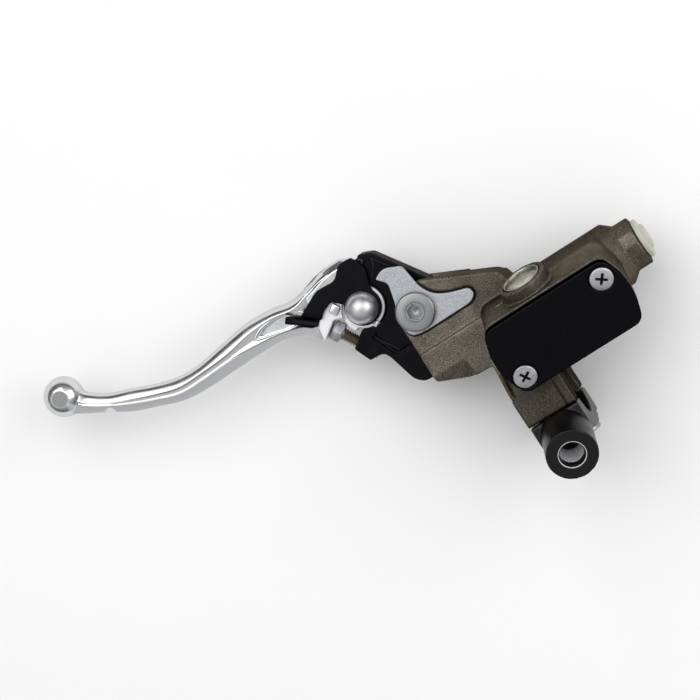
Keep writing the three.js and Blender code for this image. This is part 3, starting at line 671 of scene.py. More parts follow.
def black_finish(name, base, rough, grain_size, depth, edge, sheen, metal=1.0):
    """Satin black: anodised or coated, with lighter edges, partly rubbed and partly painted highlight."""
    material, tree, surface = principled(name, Metallic=metal, Specular_Tint=(sheen, sheen, sheen))
    surface["Specular IOR Level"].default_value = 0.3
    grain = use(tree, "Grain", Size=grain_size, Fleck_share=0.12)
    marks = use(tree, "Handling marks", Size=0.007)
    wear_and_highlight = use(tree, "Rubbed and highlit edges", Radius=0.00035, Amount=edge, Patchiness=0.6)
    speck = blend_colour(tree, maths(tree, "MULTIPLY", grain["Flecks"], 0.25), base, (0.05, 0.05, 0.055))
    scored = blend_colour(tree, maths(tree, "MULTIPLY", marks["Scratches"], 0.06), speck, (0.2, 0.2, 0.2))
    feed(tree, surface["Base Color"], blend_colour(tree, wear_and_highlight["Mask"], scored, (0.15, 0.15, 0.16)))
    gloss = spread(tree, marks["Smudge"], 0.0, 1.0, rough - 0.05, rough + 0.07)
    feed(tree, surface["Roughness"], gloss)
    bump(tree, surface, grain["Height"], 0.25, depth)
    return material


def blasted_finish():
    """Bead-blasted aluminium: speckled and matte with a bright edge, partly rubbed and partly painted highlight.
    """
    base = tuple(sizes("finish_colours").blasted)
    material, tree, surface = principled("blasted", Metallic=0.85)
    grain = use(tree, "Grain", Size=0.00042, Fleck_share=0.6)
    wear_and_highlight = use(tree, "Rubbed and highlit edges", Radius=0.0004, Amount=0.8, Patchiness=0.2)
    dark = tuple(0.62 * c for c in base)
    speckled = blend_colour(tree, spread(tree, grain["Height"], 0.36, 0.62), dark, base)
    lit = blend_colour(tree, maths(tree, "MULTIPLY", grain["Flecks"], 0.7), speckled, (0.8, 0.81, 0.84))
    feed(tree, surface["Base Color"], blend_colour(tree, wear_and_highlight["Mask"], lit, (0.86, 0.87, 0.88)))
    feed(tree, surface["Roughness"], spread(tree, grain["Height"], 0.3, 0.7, 0.58, 0.38))
    bump(tree, surface, grain["Height"], 0.7, 0.0001)
    return material


def blade_finish():
    """Polished aluminium with a satin band where the blade was ground; the ball's satin flats are darkened as
    painted shade.
    """
    base = tuple(sizes("finish_colours").aluminium)
    material, tree, surface = principled("polished_blade", Metallic=1.0, Specular_Tint=(0.75, 0.75, 0.76))
    satin = add(tree, "ShaderNodeAttribute", attribute_name="satin").outputs["Fac"]
    marks = use(tree, "Handling marks", Size=0.006, Scratch_size=0.0009)
    grain = use(tree, "Grain", Size=0.0004, Fleck_share=0.4)
    ground = tuple(1.15 * c for c in base)
    flat = add(tree, "ShaderNodeAttribute", attribute_name="flat").outputs["Fac"]
    # Painted shade: the ball's ground flats take 0.45 of the polished colour.
    painted_flat_shade = tuple(0.45 * c for c in base)
    colour_mix = blend_colour(tree, flat, blend_colour(tree, satin, base, ground), painted_flat_shade)
    scored = blend_colour(tree, maths(tree, "MULTIPLY", marks["Scratches"], 0.25), colour_mix,
                          (0.6, 0.6, 0.62))
    feed(tree, surface["Base Color"], scored)
    polished = spread(tree, marks["Smudge"], 0.0, 1.0, 0.15, 0.27)
    matte = spread(tree, grain["Height"], 0.3, 0.7, 0.66, 0.5)
    rough = add(tree, "ShaderNodeMix", data_type="FLOAT")
    feed(tree, rough.inputs[0], satin)
    feed(tree, rough.inputs[2], polished)
    feed(tree, rough.inputs[3], matte)
    feed(tree, surface["Roughness"], rough.outputs[0])
    bump(tree, surface, grain["Height"], 0.08, 0.00004)
    return material


def bright_finish(name, base, rough, centre, axis, pitch, depth=0.00003, metal=1.0):
    """Turned or plated bright metal, with the rings of its making and lighter edges, partly rubbed and partly
    painted highlight.
    """
    material, tree, surface = principled(name, Metallic=metal)
    rings = use(tree, "Turned rings", Centre=centre, Axis=axis, Pitch=pitch)
    marks = use(tree, "Handling marks", Size=0.003, Scratch_size=0.0006)
    wear_and_highlight = use(tree, "Rubbed and highlit edges", Radius=0.0003, Amount=0.8, Patchiness=0.2)
    tone = blend_colour(tree, rings["Tone"], tuple(0.62 * c for c in base), base)
    spotted = blend_colour(tree, maths(tree, "MULTIPLY", marks["Smudge"], 0.2), tone,
                           tuple(0.7 * c for c in base))
    feed(tree, surface["Base Color"], blend_colour(tree, wear_and_highlight["Mask"], spotted, (0.85, 0.85, 0.86)))
    feed(tree, surface["Roughness"], spread(tree, marks["Smudge"], 0, 1, rough - 0.05, rough + 0.08))
    bump(tree, surface, rings["Height"], 0.35, depth)
    return material


def plastic_finish():
    """Natural plastic that lets a little light in."""
    base = tuple(sizes("finish_colours").plastic)
    material, tree, surface = principled("natural_plastic", Subsurface_Weight=0.25,
                                         Subsurface_Scale=0.001, Specular_IOR_Level=0.4)
    grain = use(tree, "Grain", Size=0.0006, Fleck_share=0.2)
    marks = use(tree, "Handling marks", Size=0.004)
    tone = blend_colour(tree, grain["Tone"], tuple(0.9 * c for c in base), base)
    feed(tree, surface["Base Color"], tone)
    feed(tree, surface["Roughness"], spread(tree, marks["Smudge"], 0, 1, 0.38, 0.52))
    bump(tree, surface, grain["Height"], 0.2, 0.00005)
    return material


def cream_finish():
    base = tuple(sizes("finish_colours").cream)
    material, tree, surface = principled("window_backing", Specular_IOR_Level=0.3)
    grain = use(tree, "Grain", Size=0.0008, Fleck_share=0.2)
    feed(tree, surface["Base Color"],
         blend_colour(tree, grain["Tone"], tuple(0.8 * c for c in base), base))
    feed(tree, surface["Roughness"], spread(tree, grain["Height"], 0.3, 0.7, 0.5, 0.7))
    bump(tree, surface, grain["Height"], 0.15, 0.00005)
    return material


def glass_finish():
    material, tree, surface = principled("window_glass", Base_Color=(0.96, 0.97, 0.92),
                                         Metallic=0.0, Transmission_Weight=1.0, IOR=1.49)
    marks = use(tree, "Handling marks", Size=0.003)
    feed(tree, surface["Roughness"], spread(tree, marks["Smudge"], 0, 1, 0.12, 0.24))
    return material


def rubber_finish():
    base = tuple(sizes("finish_colours").rubber)
    material, tree, surface = principled("moulded_rubber", Specular_IOR_Level=0.25)
    grain = use(tree, "Grain", Size=0.0005, Fleck_share=0.1)
    feed(tree, surface["Base Color"],
         blend_colour(tree, grain["Tone"], base, tuple(1.8 * c for c in base)))
    feed(tree, surface["Roughness"], spread(tree, grain["Height"], 0.3, 0.7, 0.65, 0.85))
    bump(tree, surface, grain["Height"], 0.3, 0.00006)
    return material


def thread_finish():
    """Yellow-passivated thread with bright crests, partly rubbed and partly painted highlight."""
    base = tuple(sizes("finish_colours").brass)
    material, tree, surface = principled("passivated_thread", Metallic=1.0)
    wear_and_highlight = use(tree, "Rubbed and highlit edges", Radius=0.00022, Amount=1.0, Patchiness=0.1)
    grain = use(tree, "Grain", Size=0.0004, Fleck_share=0.3)
    tone = blend_colour(tree, grain["Tone"], tuple(0.55 * c for c in base), base)
    feed(tree, surface["Base Color"], blend_colour(tree, wear_and_highlight["Mask"], tone, (0.78, 0.7, 0.6)))
    feed(tree, surface["Roughness"], spread(tree, grain["Height"], 0.3, 0.7, 0.42, 0.28))
    return material


FINISHES = {}


def finish(name):
    """The named finish, made the first time that it is asked for."""
    if name in FINISHES:
        return FINISHES[name]
    colours = sizes("finish_colours")
    z_axis, x_axis, lid_axis = (0, 0, 1), (1, 0, 0), (0, -math.sin(TILT), math.cos(TILT))
    makers = {
        "casting": casting_finish,
        "black": lambda: black_finish("black_anodised", tuple(colours.black), 0.3, 0.0005, 0.00004,
                                      0.8, 0.28),
        "lid": lambda: black_finish("satin_lid", tuple(colours.lid), 0.24, 0.0007, 0.00006, 0.3, 0.3),
        "cover": lambda: black_finish("stamped_black", tuple(colours.black), 0.32, 0.0006, 0.00004,
                                      0.5, 0.2),
        "clamp": lambda: black_finish("clamp_black", tuple(colours.clamp), 0.3, 0.0005, 0.00004, 0.8,
                                      1.0, 0.0),
        # Lighter black of the lever root's beads and small screw: partly rubbed, partly painted highlight.
        "rubbed_highlit_black": lambda: black_finish("rubbed_highlit_black", tuple(2.5 * c for c in colours.black), 0.25,
                                           0.0005, 0.00003, 1.0, 0.6),
        "blasted": blasted_finish,
        "blade": blade_finish,
        "bolt": lambda: bright_finish("turned_bolt", tuple(colours.steel), 0.34, pivot_point(), z_axis,
                                      0.0004),
        "ball": lambda: bright_finish("polished_ball", tuple(colours.ball), 0.38, pin_point(), z_axis,
                                      0.0012, 0.00001),
        "zinc": lambda: bright_finish("zinc_plate", tuple(colours.zinc), 0.44, (0, 0, 0), lid_axis,
                                      0.0005),
        "bore": lambda: bright_finish("bore_parts", tuple(colours.steel), 0.3, bore_point(), x_axis,
                                      0.0004),
        "bare": lambda: bright_finish("bare_mouth", tuple(colours.mouth), 0.3, mirror_axis()[0],
                                      lid_axis, 0.0006, 0.00001, 0.45),
        "bare_ring": lambda: bright_finish("bare_ring", tuple(colours.ring), 0.3, (0, 0, 0),
                                           x_axis, 0.002, 0.00001),
        "bronze": lambda: bright_finish("bronze", tuple(colours.bronze), 0.4, pivot_point(), z_axis,
                                        0.0005),
        "plastic": plastic_finish,
        "cream": cream_finish,
        "glass": glass_finish,
        "rubber": rubber_finish,
        "thread": thread_finish,
    }
    FINISHES[name] = makers[name]()
    return FINISHES[name]


# ------------------------------------------------------------------ places taken from the frame
def middle(node):
    low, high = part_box(node)
    return (low + high) / 2


def joint(name):
    return next(j for j in frame["joints"] if j["name"] == name)


def pivot_point():
    return Vector(joint("lever_squeeze")["pos_m"])


def pin_point():
    return Vector(joint("blade_reach")["pos_m"])


def bore_point():
    """A point on the bore's axis, taken from the piston."""
    centre = middle("piston")
    return Vector((0, centre.y, centre.z))


def reservoir_matrix():
    """Reservoir's own frame: +Z is the lid's normal and +Y its forward edge."""
    return Matrix.Translation(bore_point()) @ Matrix.Rotation(TILT, 4, "X")


def reservoir_box(node):
    """A node's box in the reservoir's own frame."""
    back = reservoir_matrix().inverted()
    points = [back @ v.co for v in frame["nodes"][node].data.vertices]
    low = Vector(min(p[i] for p in points) for i in range(3))
    high = Vector(max(p[i] for p in points) for i in range(3))
    return low, high


def reservoir_place(node):
    """Centre of a node's box in the reservoir's own frame, and its top."""
    low, high = reservoir_box(node)
    return (low + high) / 2, high.z


# ------------------------------------------------------------------ body and clamp
def shape_flange(piece, out, slope):
    """Leans the reservoir's front wall out at its foot, and stands a rim proud under the lid."""
    rim_depth, wall_depth, window_radius, window_fade = 1.8 * MM, 15 * MM, 11, 4
    wall, corner, neck = 1.6 * MM, 6 * MM, 3.4 * MM
    to_local = reservoir_matrix().inverted()
    to_row = reservoir_matrix()
    lid_low, lid_high = reservoir_box("reservoir_lid")
    centre = (lid_low + lid_high) / 2
    half = (lid_high - lid_low) / 2
    rim = lid_low.z - rim_depth
    window, _ = reservoir_place("sight_ring")
    foot = lid_low.z - wall_depth
    for v in piece.data.vertices:
        p = to_local @ v.co
        past_window = (math.hypot(p.x - window.x, p.z - window.z) / MM - window_radius) / window_fade
        on_front = abs(p.x - centre.x) < half.x - 1 * MM and p.y > lid_high.y - 2.2 * MM
        if on_front and foot < p.z < rim - 2 * MM:
            lean = (rim - p.z) / (rim - foot) * max(0.0, min(1.0, past_window))
            v.co = to_row @ (p + Vector((0, slope * lean, 0)))
            continue
        inside_height = rim - 3.2 * MM < p.z < rim + 0.6 * MM
        off_x, off_y = abs(p.x - centre.x), abs(p.y - centre.y)
        on_wall = off_y > half.y - wall or off_x > half.x - corner
        inner_wall = off_y < half.y - wall and off_x < half.x - neck
        if not inside_height or not on_wall or inner_wall:
            continue
        away = Vector((p.x - centre.x, p.y - centre.y, 0))
        if off_x < half.x - corner:
            away.x = 0
        p += away.normalized() * out
        v.co = to_row @ p


def surface_under(piece, point, direction=(0, 0, 1)):
    """Where a line through a point, in millimetres, first meets a piece from outside."""
    away = Vector(direction).normalized()
    hit, place_met, _, _ = piece.ray_cast(Vector(point) * MM + away * 0.2, -away)
    if not hit:
        raise RuntimeError(f"no surface under {tuple(point)}")
    return place_met


def level_mark(body):
    """Small raised bar on the reservoir's shoulder, beside the window."""
    mark = sizes("casting_sizes").mark
    bm = bmesh.new()
    bmesh.ops.create_cube(bm, size=1)
    bmesh.ops.scale(bm, verts=bm.verts, vec=(mark, 0.9 * MM, 0.9 * MM))
    at = surface_under(body, (1.3, 42.6, 0), sizes("studio_sizes").lean)
    bm.transform(Matrix.Translation(at))
    return chamfer(from_bmesh(bm, "level_mark"), 0.3 * MM, 3)


class BRAKE_OT_body(bpy.types.Operator):
    """Cast body with its barrel, reservoir, clevis, arm and level mark"""
    bl_idname = "brake.body"
    bl_label = "Cylinder body"

    def execute(self, context):
        casting = context.scene.casting_sizes
        body = skinned_copy("cylinder_body", "body_casting", casting.skin, casting.rounding)
        shape_flange(body, casting.flange, casting.slope)
        finish_piece(body, "root", "body_casting", finish("casting"), "cylinder_body")
        finish_piece(level_mark(body), "root", "body_casting", finish("casting"))
        return {"FINISHED"}


def mirror_axis():
    """Top point and direction of the mirror boss, from its mount in the record."""
    face = next(m for m in frame["record"]["mounts"] if m["name"] == "mirror_boss_face")
    axis = Vector(face["axis"]).normalized()
    boss_centre = Vector((0, face["pos_m"][1], face["pos_m"][2]))
    return boss_centre, axis


class BRAKE_OT_clamp(bpy.types.Operator):
    """Black clamp half and the bare threaded mouth of its mirror boss"""
    bl_idname = "brake.clamp"
    bl_label = "Clamp cap"

    def execute(self, context):
        cap = skinned_copy("clamp_cap", "clamp_half", 0.36 * MM, 3)
        finish_piece(cap, "root", "black_anodised", finish("clamp"), "clamp_cap")
        top, axis = mirror_axis()
        wall = thread("mirror_thread", 4.5, 0.4, 1.25, -14.8, -8.5, inside=True)
        move_to(wall, top, axis)
        finish_piece(wall, "root", "polished_aluminium", finish("bare"))
        mouth = turned("mirror_mouth", [(4.1, -8.8), (4.3, -8.4), (4.85, -1.0), (5.3, -0.03),
                                        (5.55, -0.03), (5.4, -1.1), (4.7, -9.0)], top, axis, 0.05, True)
        finish_piece(mouth, "root", "polished_aluminium", finish("bare"))
        return {"FINISHED"}


class BRAKE_OT_clamp_bolts(bpy.types.Operator):
    """Flanged clamp bolts with hex sockets, their shanks black as painted shade in the holes"""
    bl_idname = "brake.clamp_bolts"
    bl_label = "Clamp bolts"

    def execute(self, context):
        for end in ("upper", "lower"):
            node = f"clamp_bolt_{end}"
            low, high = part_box(node)
            centre = (low + high) / 2
            head = Vector((centre.x, low.y, centre.z))
            long = (high.y - low.y) / MM
            bolt = turned(node + "_head", [
                (0, 0), (4.6, 0), (5, 0.5), (5, 3.6), (6.3, 4.3), (6.4, 4.6), (6.4, 5.7), (0, 5.7),
            ], head, (0, 1, 0))
            # The shank is finished black as painted shade inside its hole.
            shank = turned(node + "_shank", [(0, 5.7), (2.9, 5.7), (2.9, long - 0.6), (2.4, long),
                                             (0, long)], head, (0, 1, 0))
            finish_piece(shank, "root", "zinc_fasteners", finish("black"))
            socket = prism("socket", polygon(6, 2.9), -1, 3.2)
            carve(bolt, move_to(socket, head, (0, 1, 0)))
            finish_piece(shade(bolt), "root", "zinc_fasteners", finish("zinc"), node)
        return {"FINISHED"}


# ------------------------------------------------------------------ reservoir
def cross_tool(reach, width, depth):
    """Tapering cross that cuts a cross-head recess, pointing down from z = 0."""
    arm, half = reach, width / 2
    outline = [(half, -half), (arm, -half), (arm, half), (half, half), (half, arm), (-half, arm),
               (-half, half), (-arm, half), (-arm, -half), (-half, -half), (-half, -arm), (half, -arm)]
    return prism("cross", outline, -depth, 0.6, 0.42)


class BRAKE_OT_lid(bpy.types.Operator):
    """Black reservoir lid, and the finishes of the diaphragm and plate below it"""
    bl_idname = "brake.lid"
    bl_label = "Reservoir lid"

    def execute(self, context):
        lid = skinned_copy("reservoir_lid", "lid_plate", 0.3 * MM, 12)
        finish_piece(lid, "root", "black_lid", finish("lid"), "reservoir_lid")
        for node, look in (("diaphragm", "rubber"), ("diaphragm_plate", "plastic")):
            materials = frame["nodes"][node].data.materials
            materials.clear()
            materials.append(finish(look))
        return {"FINISHED"}


class BRAKE_OT_lid_screws(bpy.types.Operator):
    """Cross-head lid screws, each with a black cross of painted shadow in its recess"""
    bl_idname = "brake.lid_screws"
    bl_label = "Lid screws"

    def execute(self, context):
        place_on = reservoir_matrix()
        axis = place_on.to_3x3() @ Vector((0, 0, 1))
        for node, turn in (("lid_screw_rear", 0.5), ("lid_screw_front", 0.9)):
            centre, top = reservoir_place(node)
            at = place_on @ Vector((centre.x, centre.y, top))
            screw = turned(node + "_fine", [
                (0, 0), (3.9, -0.02), (4.45, -0.2), (4.62, -0.55), (4.62, -1.7), (2.5, -2.6),
                (2.5, -11.6), (2, -12.3), (0, -12.3),
            ], at, axis, 0.12)
            tool = cross_tool(2.9, 1.35, 2.2)
            tool.data.transform(Matrix.Rotation(turn, 4, "Z"))
            carve(screw, move_to(tool, at, axis))
            # Painted shadow: a black cross sits at the bottom of each cross recess.
            shadow = cross_tool(2.6, 1.25, 2.0)
            shadow.data.transform(Matrix.Translation((0, 0, -1.25 * MM)) @ Matrix.Rotation(turn, 4, "Z"))
            move_to(shadow, at, axis)
            finish_piece(shadow, "root", "zinc_fasteners", finish("black"))
            finish_piece(shade(screw), "root", "zinc_fasteners", finish("zinc"), node)
        return {"FINISHED"}


class BRAKE_OT_window(bpy.types.Operator):
    """Fluid window: cream backing, clear glass and bright ring"""
    bl_idname = "brake.window"
    bl_label = "Fluid window"

    def execute(self, context):
        place_on = reservoir_matrix()
        axis = place_on.to_3x3() @ Vector((0, 1, 0))
        centre, _ = reservoir_place("sight_ring")
        at = place_on @ Vector((centre.x, 0, centre.z))
        backing = turned_copy("sight_backing", "window_backing", at, axis)
        finish_piece(backing, "root", "cream_backing", finish("cream"), "sight_backing")
        glass = turned_copy("sight_glass", "window_glass", at, axis, 0.3)
        finish_piece(glass, "root", "sight_glass", finish("glass"), "sight_glass")
        _, high = reservoir_box("sight_ring")
        rim = high.y / MM
        ring = turned("window_ring", [(7.0, rim - 3), (7.0, rim - 0.5), (7.3, rim), (7.55, rim),
                                      (7.75, rim - 0.4), (7.75, rim - 3)], at, axis, 0.05, True)
        finish_piece(ring, "root", "polished_aluminium", finish("bare_ring"), "sight_ring")
        return {"FINISHED"}


class BRAKE_OT_plug(bpy.types.Operator):
    """Natural plastic plug in the outlet"""
    bl_idname = "brake.plug"
    bl_label = "Outlet plug"

    def execute(self, context):
        plug = turned_copy("outlet_plug", "transport_plug", bore_point(), (1, 0, 0), 0.3)
        finish_piece(plug, "root", "natural_plastic", finish("plastic"), "outlet_plug")
        return {"FINISHED"}


# ------------------------------------------------------------------ piston train
class BRAKE_OT_piston_train(bpy.types.Operator):
    """Piston, cups, return spring, stop washer, circlip and boot"""
    bl_idname = "brake.piston_train"
    bl_label = "Piston train"

    def execute(self, context):
        along = (1, 0, 0)
        for node, body, slot, look in (
            ("piston", "plunger", "anodised_piston", "bore"),
            ("secondary_cup", "plunger", "rubber_seals", "rubber"),
            ("primary_cup", "plunger", "rubber_seals", "rubber"),
            ("stop_washer", "root", "spring_steel", "bore"),
            ("circlip", "root", "spring_steel", "bore"),
            ("dust_boot", "root", "rubber_seals", "rubber"),
        ):
            piece = turned_copy(node, node + "_fine", bore_point(), along, 0.1)
            finish_piece(piece, body, slot, finish(look), node)
        low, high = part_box("return_spring")
        spring = coil("return_spring_wire", 5.6, 1.4, (low.x / MM) + 0.7, (high.x / MM) - 0.7, 6,
                      bore_point())
        finish_piece(spring, "root", "spring_steel", finish("bore"), "return_spring")
        shorten(spring)
        return {"FINISHED"}


# ------------------------------------------------------------------ pivot
class BRAKE_OT_pivot_plate(bpy.types.Operator):
    """Bead-blasted plate under the pivot bolt"""
    bl_idname = "brake.pivot_plate"
    bl_label = "Pivot plate"

    def execute(self, context):
        plate = skinned_copy("pivot_plate", "blasted_plate", 0.22 * MM, 3)
        finish_piece(plate, "root", "blasted_aluminium", finish("blasted"), "pivot_plate")
        return {"FINISHED"}


class BRAKE_OT_pivot_bolt(bpy.types.Operator):
    """Pivot bolt with a hex socket, its nut and its bush"""
    bl_idname = "brake.pivot_bolt"
    bl_label = "Pivot bolt"

    def execute(self, context):
        low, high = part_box("pivot_bolt")
        at = Vector((pivot_point().x, pivot_point().y, high.z))
        long = (high.z - low.z) / MM
        bolt = turned("pivot_bolt_fine", [
            (0, 0), (4.4, 0), (7.1, -0.06), (7.75, -0.6), (7.75, -2.3), (5, -2.3),
            (5, 0.4 - long + 6.7), (4, 0.4 - long + 6.7), (4, -long + 0.4), (3.6, -long), (0, -long),
        ], at, width=0.12)
        countersink = revolve([(0, -0.3 * MM), (3.55 * MM, -0.3 * MM), (3.9 * MM, 0.06 * MM),
                               (0, 0.4 * MM)], 96)
        cone = move_to(from_bmesh(countersink, "cone"), at, (0, 0, 1))
        carve(bolt, cone)
        socket = prism("socket", polygon(6, 3.46, 0.35), -4.6, 1)
        carve(bolt, move_to(socket, at, (0, 0, 1)))
        drilled = revolve([(0, -5.4 * MM), (1.5 * MM, -4.7 * MM), (1.6 * MM, -4.2 * MM), (0, -4 * MM)], 64)
        carve(bolt, move_to(from_bmesh(drilled, "drilled"), at, (0, 0, 1)))
        finish_piece(shade(bolt), "root", "turned_steel", finish("bolt"), "pivot_bolt")

        low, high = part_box("pivot_nut")
        nut_at = Vector((at.x, at.y, low.z))
        tall = (high.z - low.z) / MM
        nut = hex_head("pivot_nut_fine", 7.5, tall, 0.5)
        bore = prism("bore", polygon(48, 4.3), -1, tall + 1)
        carve(nut, bore)
        finish_piece(shade(move_to(nut, nut_at, (0, 0, 1))), "root", "zinc_fasteners", finish("zinc"),
                     "pivot_nut")
        bush = turned_copy("pivot_bush", "pivot_bush_fine", pivot_point(), (0, 0, 1))
        finish_piece(bush, "lever", "bronze_bush", finish("bronze"), "pivot_bush")
        return {"FINISHED"}


def hex_head(name, corner_radius, height, drop, turn=0.0):
    """Hexagon with chamfered corners at both ends, from z = 0 up, in millimetres."""
    block = prism(name, polygon(6, corner_radius, turn), 0, height)
    flat = corner_radius * math.cos(math.pi / 6)
    cone = revolve([(r * MM, z * MM) for r, z in (
        (0, -0.01), (flat - 0.1, -0.01), (corner_radius + 0.2, drop + 0.2),
        (corner_radius + 0.2, height - drop - 0.2), (flat - 0.1, height + 0.01), (0, height + 0.01))], 72)
    carve(block, from_bmesh(cone, "cone"), "INTERSECT")
    return chamfer(block, 0.1 * MM, 2, 40)


# ------------------------------------------------------------------ lever
ROOT_BEADS = [
    [(-28.8, 84.2), (-29.6, 82.0), (-30.6, 79.9), (-33.0, 78.2)],
    [(-28.5, 83.8), (-26.6, 81.0), (-24.4, 77.8), (-21.9, 74.3)],
    [(-44.5, 59.5), (-43.8, 56.8), (-41.2, 52.5), (-39.0, 48.7)],
]


class BRAKE_OT_lever_base(bpy.types.Operator):
    """Black root of the lever with its raised beads, small screw and reach spring"""
    bl_idname = "brake.lever_base"
    bl_label = "Lever base"

    def execute(self, context):
        machined = context.scene.machined_sizes
        base = skinned_copy("lever_base", "lever_root", machined.skin, machined.rounding)
        finish_piece(base, "lever", "black_anodised", finish("black"), "lever_base")
        for number, line in enumerate(ROOT_BEADS):
            points = [surface_under(base, (x, y, 0)) / MM for x, y in line]
            bead = tube(f"root_bead_{number}", points, 0.24)
            finish_piece(bead, "lever", "black_anodised", finish("rubbed_highlit_black"))
        knob_at = surface_under(base, (-33.4, 85.6, 0))
        knob = turned("root_screw", [(0, -1), (1.8, -1), (1.8, 0.7), (1.3, 1.1), (0, 1.1)], knob_at)
        socket = prism("socket", polygon(6, 1.0), 0.3, 2)
        carve(knob, move_to(socket, knob_at, (0, 0, 1)))
        finish_piece(shade(knob), "lever", "black_anodised", finish("rubbed_highlit_black"))
        low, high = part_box("reach_spring")
        centre = middle("reach_spring")
        spring = coil("reach_spring_wire", 1.8, 0.7, low.x / MM + 0.35, high.x / MM - 0.35, 5,
                      Vector((0, centre.y, centre.z)))
        finish_piece(spring, "lever", "spring_steel", finish("zinc"), "reach_spring")
        shorten(spring)
        return {"FINISHED"}


HEAD_START = -61  # where the finger ends and the head begins, in millimetres along X

# Sections of the blade in millimetres, from the ball to the head: the rear edge's point, the
# forward edge's point, half thickness, and the places of the two ridges between -1 and 1.
BLADE_SECTIONS = [
    ((-165.5, 97.4), (-156.2, 107.4), 5.6, -0.20, 0.05),
    ((-162.4, 95.4), (-155.9, 103.6), 5.0, -0.24, 0.06),
    ((-158.2, 93.0), (-154.6, 100.5), 4.5, -0.27, 0.08),
    ((-151.7, 89.4), (-147.6, 95.6), 4.3, -0.28, 0.14),
    ((-142.1, 84.0), (-138.5, 92.2), 4.3, -0.27, 0.18),
    ((-132.4, 80.3), (-129.6, 88.7), 4.4, -0.31, 0.20),
    ((-122.4, 76.9), (-120.6, 86.2), 4.7, -0.32, 0.24),
    ((-110.5, 75.8), (-110.5, 85.9), 5.0, -0.20, 0.34),
    ((-98.0, 76.0), (-98.8, 87.5), 5.4, -0.26, 0.26),
    ((-86.1, 76.1), (-86.3, 89.3), 5.7, -0.45, 0.40),
    ((-75.2, 75.4), (-75.0, 88.9), 6.0, -0.55, 0.52),
    ((-67.2, 72.2), (-66.0, 87.3), 6.3, -0.45, 0.58),
    ((-62.6, 67.6), (-58.4, 88.2), 6.4, -0.42, 0.74),
    ((-57.0, 74.6), (-50.6, 90.3), 6.4, -0.40, 0.62),
    ((-51.0, 78.0), (-45.0, 90.9), 6.2, -0.40, 0.50),
]


def between(rows, place):
    """Smooth values at a place along rows of numbers, through every row."""
    i = min(int(place), len(rows) - 2)
    t = place - i
    before, start = rows[max(i - 1, 0)], rows[i]
    end, after = rows[i + 1], rows[min(i + 2, len(rows) - 1)]
    result = []
    for a, b, c, d in zip(before, start, end, after):
        result.append(b + 0.5 * t * (c - a + t * (2 * a - 5 * b + 4 * c - d
                                                   + t * (3 * (b - c) + d - a))))
    return result


def blade_profile(lower, upper):
    """Upper half of a blade section as (place across, share of the thickness)."""
    gap = upper - lower
    return [
        (-1.0, 0.0), (-1.0, 0.42), (-0.96, 0.56), (-0.9, 0.62), (lower - 0.03, 0.955),
        (lower, 0.98), (lower + 0.03, 0.945), (lower + 0.2 * gap, 0.86), (lower + 0.5 * gap, 0.84),
        (upper - 0.2 * gap, 0.9), (upper - 0.03, 0.985), (upper, 1.0), (upper + 0.04, 0.985),
        (0.6 * upper + 0.4, 0.86), (0.3 * upper + 0.7, 0.68), (0.93, 0.46), (0.985, 0.24),
        (1.0, 0.0),
    ]


def blade_loft(name):
    """Finger part of the blade, swept through its sections."""
    steps = 240
    rows = [[*rear, *ahead, thick, lower, upper] for rear, ahead, thick, lower, upper in BLADE_SECTIONS]
    bm = bmesh.new()
    rings = []
    for step in range(steps + 1):
        rx, ry, fx, fy, thick, lower, upper = between(rows, (len(rows) - 1) * step / steps)
        top = blade_profile(lower, upper)
        whole = top + [(a, -b) for a, b in top[-2:0:-1]]
        ring = []
        for across, share in whole:
            t = (across + 1) / 2
            ring.append(bm.verts.new(((rx + (fx - rx) * t) * MM, (ry + (fy - ry) * t) * MM,
                                      share * thick * MM)))
        rings.append(ring)
    return from_bmesh(bridge(bm, rings, capped=True), name)


def blade_head(name):
    """Fork end of the blade, cut from its CAD node."""
    bm = cad_bmesh("lever_blade")
    everything = list(bm.verts) + list(bm.edges) + list(bm.faces)
    cut_at = Vector((HEAD_START - 0.5, 70, 0)) * MM
    cut = bmesh.ops.bisect_plane(bm, geom=everything, dist=1e-7, plane_co=cut_at,
                                 plane_no=Vector((-1, 0.15, 0)), clear_outer=True)
    edges = [e for e in cut["geom_cut"] if isinstance(e, bmesh.types.BMEdge)]
    bmesh.ops.holes_fill(bm, edges=edges)
    bmesh.ops.recalc_face_normals(bm, faces=bm.faces)
    return from_bmesh(bm, name)


FORWARD_EDGE = [(-70, 87.6), (-66, 87.2), (-58.4, 88.2), (-50.6, 90.3), (-45, 91), (-40, 91), (-36.4, 88)]


def slope_forward_edge(piece):
    """Slopes the head's forward edge so that it carries on from the finger's."""
    width, drop = 3.4, 2.6
    head_height, corner_width, corner_drop = 6.35, 0.9, 1.6
    for v in piece.data.vertices:
        x, y, z = v.co / MM
        if y < 82:
            continue
        gap = distance_to_line(x, y, FORWARD_EDGE)
        if gap > width:
            continue
        corner = corner_drop * max(0.0, 1 - gap / corner_width) ** 2
        limit = head_height - drop * (1 - gap / width) - corner
        v.co.z = math.copysign(min(abs(z), limit), z) * MM


# The ball end, the pocket beside the ridge, the pocket's rim and the jaw's slot, in millimetres.
BALL_RADIUS = 8.1
BALL_FORWARD = 104
FLAT_HEIGHT = 7.4  # the ball end is ground flat above and below
POCKET = [(-84.2, 82.3), (-80.6, 84.0), (-74.9, 84.6), (-69.4, 84.2), (-64.6, 81.6), (-63.0, 79.4),
          (-67.5, 78.4), (-73.0, 79.2), (-78.4, 80.6), (-82.6, 81.6)]
JAW_SLOT = [(-48.3, 75.6), (-47.6, 74.7), (-49.2, 71.4), (-49.8, 69.6), (-51.2, 70.1), (-50.4, 72.5)]
POCKET_RIM = [(-84.9, 82.2), (-80.9, 84.4), (-75.0, 85.0), (-69.3, 84.6), (-64.2, 82.0), (-62.5, 79.4),
              (-67.4, 77.9), (-73.1, 78.7), (-78.6, 80.1), (-83.0, 81.2)]


